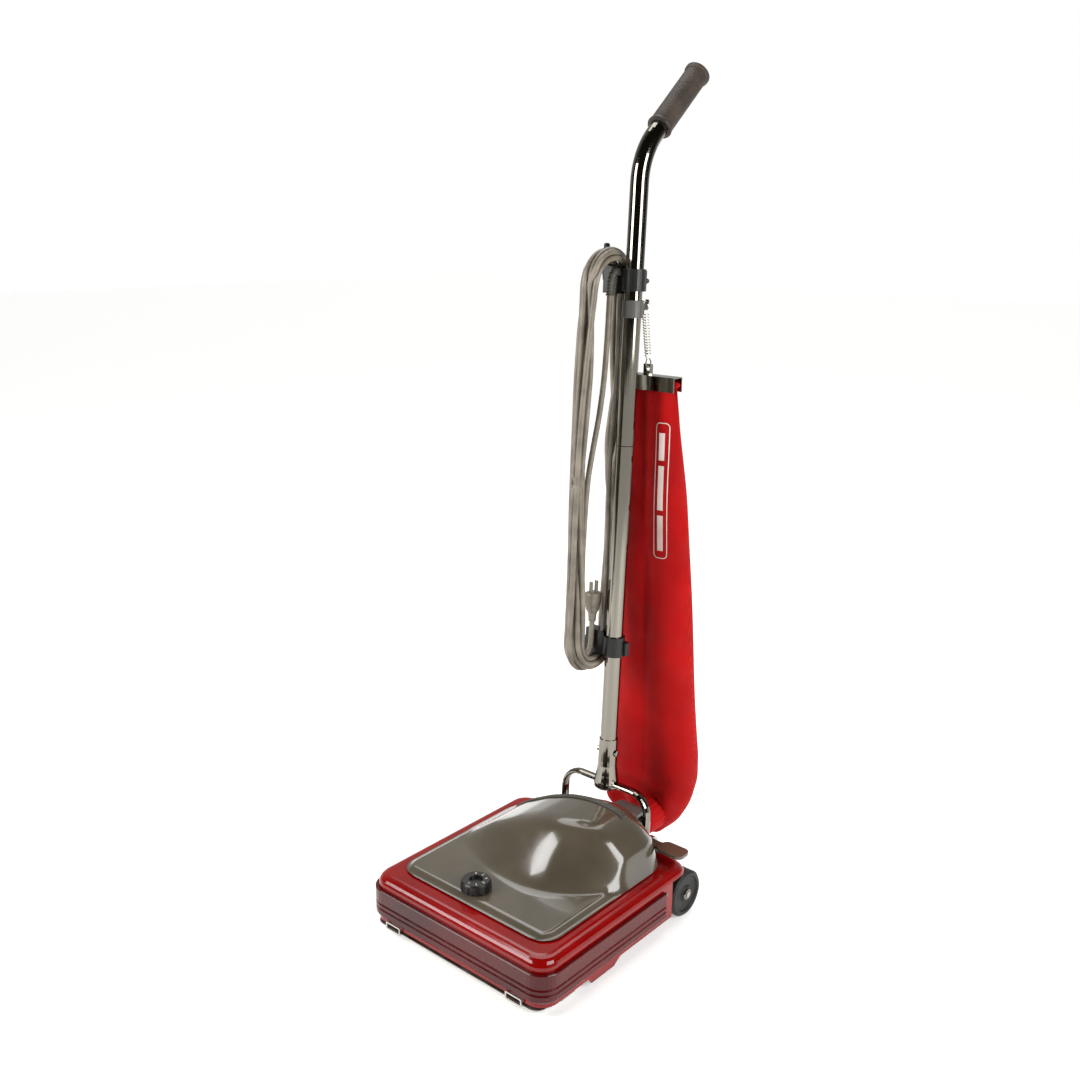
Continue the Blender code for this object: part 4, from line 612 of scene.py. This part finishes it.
def make_dial_numbers(looks):
    """Numbers 1 to 6 printed round the dial's top."""
    kx, ky, _ = JOINTS["height_dial_turn"]["pos_m"]
    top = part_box("height_knob")[1][2]
    for k in range(6):
        a = math.radians(-90.0 + 45.0 * k)
        data = bpy.data.curves.new(f"dial_number_{k + 1}", "FONT")
        data.body = str(k + 1)
        data.size = NUMBER_SIZE
        data.extrude = 0.00012
        data.align_x = "CENTER"
        data.align_y = "CENTER"
        data.materials.append(looks["ink"])
        number = bpy.data.objects.new(f"dial_number_{k + 1}", data)
        number.location = (kx + NUMBER_RING * math.cos(a), ky + NUMBER_RING * math.sin(a), top + 0.0001)
        number.rotation_euler = (0.0, 0.0, a + math.radians(90.0))
        bpy.context.scene.collection.objects.link(number)
        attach(number, "height_dial")


# ---------------------------------------------------------------- strain relief
# middle line as s, x and t on the handle
RELIEF = ((0.8272, -0.0215, -0.0066), (0.8275, -0.0218, -0.0108), (0.8264, -0.0225, -0.0146),
          (0.8227, -0.0236, -0.0174), (0.8167, -0.0248, -0.0186), (0.8092, -0.0257, -0.0188),
          (0.8017, -0.0262, -0.0188), (0.7947, -0.0265, -0.0188))


def make_strain_relief(looks):
    """Curved tapering sleeve with grooves between its ribs and a flared mouth."""
    path = through([on_handle(*p) for p in RELIEF], 0.0006)
    radii = []
    for i in range(len(path)):
        share = i / (len(path) - 1)
        rib = 0.5 + 0.5 * math.cos(2.0 * math.pi * 9.0 * share)
        groove = 0.0008 * (1.0 - smooth(rib * 1.6)) * (share > 0.06) * (share < 0.93)
        radius = 0.0060 - 0.0009 * share - groove
        radii.append(radius + 0.0007 * smooth((share - 0.94) / 0.03))
    sleeve = from_bmesh("strain_relief_sleeve", skin(tube_rings(path, radii, 20)), looks["relief"], 50.0)
    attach(sleeve, "handle")
    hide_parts("strain_relief")


# ---------------------------------------------------------------- cloth bag
# height, half width, half depth, middle behind FRONT
BAG_STOPS = ((0.045, 0.040, 0.016, 0.4320), (0.070, 0.066, 0.028, 0.4400), (0.110, 0.084, 0.036, 0.4470),
             (0.160, 0.088, 0.040, 0.4500), (0.300, 0.077, 0.036, 0.4460), (0.450, 0.070, 0.030, 0.4380),
             (0.600, 0.0635, 0.022, 0.4260), (0.700, 0.0570, 0.012, 0.4150),
             (0.7445, 0.0530, 0.0082, 0.4110), (0.7580, 0.0510, 0.0045, 0.4110))
BAG_LEVELS = 190
BAG_AROUND = 120
PORT_X = 0.030            # middle of the exhaust connector
PORT_Z = 0.080
SLEEVE_FRONT = 0.3765     # behind FRONT
SLEEVE_LENGTH = 0.0580
SLEEVE_R = 0.0252
HEM_UP = 0.0105           # above the underside of the slide
HEM_LEFT = -0.0540
HEM_LENGTH = 0.1090
HEM_R = 0.0040


def bag_at(z):
    """Half width, half depth and middle y of the bag at a height, eased between its stops."""
    zs = [stop[0] for stop in BAG_STOPS]
    reach = 0.45 * min(z - zs[0], zs[-1] - z, 0.06)
    near = [z + reach * (k / 4.0 - 1.0) for k in range(9)]
    return [float(np.mean(np.interp(near, zs, [stop[k] for stop in BAG_STOPS]))) for k in (1, 2, 3)]


def bag_point(z, a):
    """A slack pillow section with soft creases that run down from the slide and gather at the foot."""
    half_x, half_y, middle = bag_at(z)
    foot = smooth((0.200 - z) / 0.130)
    head = smooth((z - 0.560) / 0.170)
    c, sn = math.cos(a), math.sin(a)
    power = 0.72 + 0.16 * head
    x = half_x * math.copysign(abs(c) ** power, c)
    y = half_y * math.copysign(abs(sn) ** 0.86, sn)
    fold = 0.0026 * math.sin(x * 95.0 + 1.7 + 5.0 * z) * (0.5 + 0.5 * math.sin(9.0 * z + 1.0))
    fold += 0.0016 * math.sin(x * 40.0 - 22.0 * z + 0.8) * (1.0 - head)
    fold += 0.0030 * foot * math.sin(x * 120.0 + 2.5 * math.sin(30.0 * z) + 0.6)
    fold += 0.0026 * foot * math.sin(z * 150.0 + 60.0 * x)
    fold += 0.0012 * head * math.sin(x * 210.0 + 0.4)
    crease = 0.0045 * math.exp(-((x - 0.004 - 0.006 * math.sin(6.0 * z)) / 0.007) ** 2) * (1.0 - 0.6 * head)
    y += math.copysign(1.0, sn) * abs(sn) ** 0.5 * (fold - crease - 0.0022)
    x *= 1.0 - 0.012 * (1.0 + math.sin(17.0 * z + 2.0))
    return Vector((x, FRONT + middle + y, z))


def make_bag(looks):
    """Bag as a closed surface, and its sleeve on the exhaust connector as an open tube, in one piece."""
    rings = []
    for level in range(BAG_LEVELS + 1):
        z = BAG_STOPS[0][0] + (BAG_STOPS[-1][0] - BAG_STOPS[0][0]) * level / BAG_LEVELS
        rings.append([bag_point(z, 2.0 * math.pi * k / BAG_AROUND) for k in range(BAG_AROUND)])
    bm = skin(rings)
    sleeve = []
    for level in range(30):
        y = FRONT + SLEEVE_FRONT + SLEEVE_LENGTH * level / 29
        share = level / 29
        ring = []
        for k in range(72):
            a = 2.0 * math.pi * k / 72
            pleat = 0.0007 * math.sin(18.0 * a) * smooth((share - 0.2) / 0.25)
            radius = SLEEVE_R + 0.0006 * math.cos(2.0 * math.pi * min(share / 0.14, 1.0)) + pleat
            ring.append(Vector((PORT_X + radius * math.cos(a), y, PORT_Z + radius * math.sin(a))))
        sleeve.append(ring)
    tube = skin(sleeve, caps=False)
    holder = bpy.data.meshes.new("sleeve")
    tube.to_mesh(holder)
    tube.free()
    bm.from_mesh(holder)
    bag = from_bmesh("cloth_bag", bm, looks["bag_cloth"], 60.0)
    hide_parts("dust_bag", "bag_foot")
    return bag


def make_bag_hem(looks):
    """Rolled top hem of the bag inside the slide, standing out a little at both ends."""
    low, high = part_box("bag_slide")
    height = low[2] + HEM_UP
    path = []
    radii = []
    for k in range(61):
        share = k / 60
        x = HEM_LEFT + HEM_LENGTH * share
        path.append(Vector((x, 0.5 * (low[1] + high[1]) + 0.0003 * math.sin(40.0 * share), height)))
        end = min(share, 1.0 - share) / 0.03
        radii.append(HEM_R * math.sqrt(max(0.06, min(1.0, end))) + 0.0002 * math.sin(70.0 * share))
    hem = from_bmesh("bag_hem", skin(tube_rings(path, radii, 18)), looks["bag_cloth"], 60.0)
    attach(hem, "handle")


def on_bag(tree, x, z, lift=0.0006):
    """Point just in front of the bag's cloth."""
    hit, _, _, _ = tree.ray_cast(Vector((x, FRONT + 0.2, z)), Vector((0.0, 1.0, 0.0)))
    return hit + Vector((0.0, -lift, 0.0))


def make_bag_panel(bag, looks):
    """Printed outline with plain bars inside it, laid just in front of the cloth."""
    tree = BVHTree.FromObject(bag, bpy.context.evaluated_depsgraph_get())
    bm = bmesh.new()
    x0, x1, z0, z1, corner = 0.0225, 0.0440, 0.500, 0.703, 0.007

    def outline(inset):
        """Rounded rectangle as evenly spaced points in (x, z)."""
        points = []
        for cx, cz, start in ((x1 - corner, z1 - corner, 0), (x0 + corner, z1 - corner, 90),
                              (x0 + corner, z0 + corner, 180), (x1 - corner, z0 + corner, 270)):
            for k in range(9):
                a = math.radians(start + 90.0 * k / 8)
                points.append((cx + (corner - inset) * math.cos(a), cz + (corner - inset) * math.sin(a)))
        dense = []
        for (ax, az), (bx, bz) in zip(points, points[1:] + points[:1]):
            count = max(1, round(math.hypot(bx - ax, bz - az) / 0.004))
            dense += [(ax + (bx - ax) * k / count, az + (bz - az) * k / count) for k in range(count)]
        return dense

    outer, inner = outline(0.0), outline(0.0013)
    rings = [[bm.verts.new(on_bag(tree, x, z)) for x, z in line] for line in (outer, inner)]
    for i in range(len(outer)):
        j = (i + 1) % len(outer)
        bm.faces.new((rings[0][i], rings[0][j], rings[1][j], rings[1][i]))
    for low, high in ((0.512, 0.566), (0.574, 0.640), (0.648, 0.688)):
        rows = round((high - low) / 0.003)
        quads = [[bm.verts.new(on_bag(tree, x0 + 0.0060 + 0.0090 * c / 4, low + (high - low) * r / rows))
                  for c in range(5)] for r in range(rows + 1)]
        for r in range(rows):
            for c in range(4):
                bm.faces.new((quads[r][c], quads[r][c + 1], quads[r + 1][c + 1], quads[r + 1][c]))
    panel = from_bmesh("bag_panel_print", bm, looks["ink"])
    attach(panel, "handle")


# ---------------------------------------------------------------- stage
FLOOR_HALF = 14.0
FLOOR_DROP = 0.0005


def make_stage():
    """Plain pale floor that glows a little, so that it stays near white."""
    n = Nodes("floor_look")
    n.use("Roughness", n.remap(n.noise(2.0, 3.0), 0.3, 0.7, 0.55, 0.7))
    n.set(Base_Color=(0.92, 0.92, 0.91, 1.0), Emission_Color=(1.0, 1.0, 0.99, 1.0), Emission_Strength=0.34)
    bm = bmesh.new()
    bmesh.ops.create_grid(bm, x_segments=2, y_segments=2, size=FLOOR_HALF)
    floor = from_bmesh("floor", bm, n.mat)
    floor.location.z = -FLOOR_DROP


def area_light(name, place, aim, size, power):
    """Softbox at a place, turned to its aim."""
    data = bpy.data.lights.new(name, "AREA")
    data.shape = "RECTANGLE"
    data.size, data.size_y = size
    data.energy = power
    lamp = bpy.data.objects.new(name, data)
    lamp.location = place
    lamp.rotation_mode = "QUATERNION"
    lamp.rotation_quaternion = (Vector(aim) - Vector(place)).to_track_quat("-Z", "Y")
    bpy.context.scene.collection.objects.link(lamp)


def make_light():
    """Two softboxes and one broad sun.

    The world is dim in front and brighter behind, and plain white where the camera sees it directly.
    """
    area_light("key", (-1.15, -1.95, 1.60), (0.0, -0.05, 0.30), (1.15, 1.50), 66.0)
    area_light("side", (2.05, 0.05, 1.30), (0.0, -0.05, 0.30), (1.05, 1.45), 50.0)
    data = bpy.data.lights.new("sky", "SUN")
    data.energy = 1.9
    data.angle = math.radians(50.0)
    sky = bpy.data.objects.new("sky", data)
    sky.rotation_euler = (math.radians(-22.0), math.radians(-16.0), 0.0)
    bpy.context.scene.collection.objects.link(sky)
    world = bpy.data.worlds.new("studio")
    bpy.context.scene.world = world
    world.use_nodes = True
    tree = world.node_tree
    nodes, links = tree.nodes, tree.links
    background = nodes["Background"]
    coords = nodes.new("ShaderNodeTexCoord")
    dot = nodes.new("ShaderNodeVectorMath")
    dot.operation = "DOT_PRODUCT"
    dot.inputs[1].default_value = (-0.655, 0.756, 0.0)
    links.new(coords.outputs["Generated"], dot.inputs[0])
    half = nodes.new("ShaderNodeMapRange")
    half.inputs["From Min"].default_value = -1.0
    half.inputs["From Max"].default_value = 1.0
    links.new(dot.outputs["Value"], half.inputs["Value"])
    ramp = nodes.new("ShaderNodeValToRGB")
    ramp.color_ramp.elements[0].position = 0.52
    ramp.color_ramp.elements[0].color = (0.020, 0.019, 0.017, 1.0)
    ramp.color_ramp.elements[1].position = 0.90
    ramp.color_ramp.elements[1].color = (0.50, 0.50, 0.48, 1.0)
    links.new(half.outputs["Result"], ramp.inputs["Fac"])
    path = nodes.new("ShaderNodeLightPath")
    mix = nodes.new("ShaderNodeMix")
    mix.data_type = "RGBA"
    links.new(path.outputs["Is Camera Ray"], mix.inputs["Factor"])
    links.new(ramp.outputs["Color"], mix.inputs["A"])
    mix.inputs["B"].default_value = (1.0, 1.0, 1.0, 1.0)
    links.new(mix.outputs["Result"], background.inputs["Color"])
    background.inputs["Strength"].default_value = 1.0
    bpy.context.scene.view_settings.view_transform = "Standard"


make_camera()
LOOKS = make_materials()
make_cord(LOOKS)
dress_frame(LOOKS)
make_hood(LOOKS)
make_dial_numbers(LOOKS)
make_strain_relief(LOOKS)
cloth_bag = make_bag(LOOKS)
make_bag_panel(cloth_bag, LOOKS)
make_bag_hem(LOOKS)
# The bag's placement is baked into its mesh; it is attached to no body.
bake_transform(cloth_bag)
make_stage()
make_light()
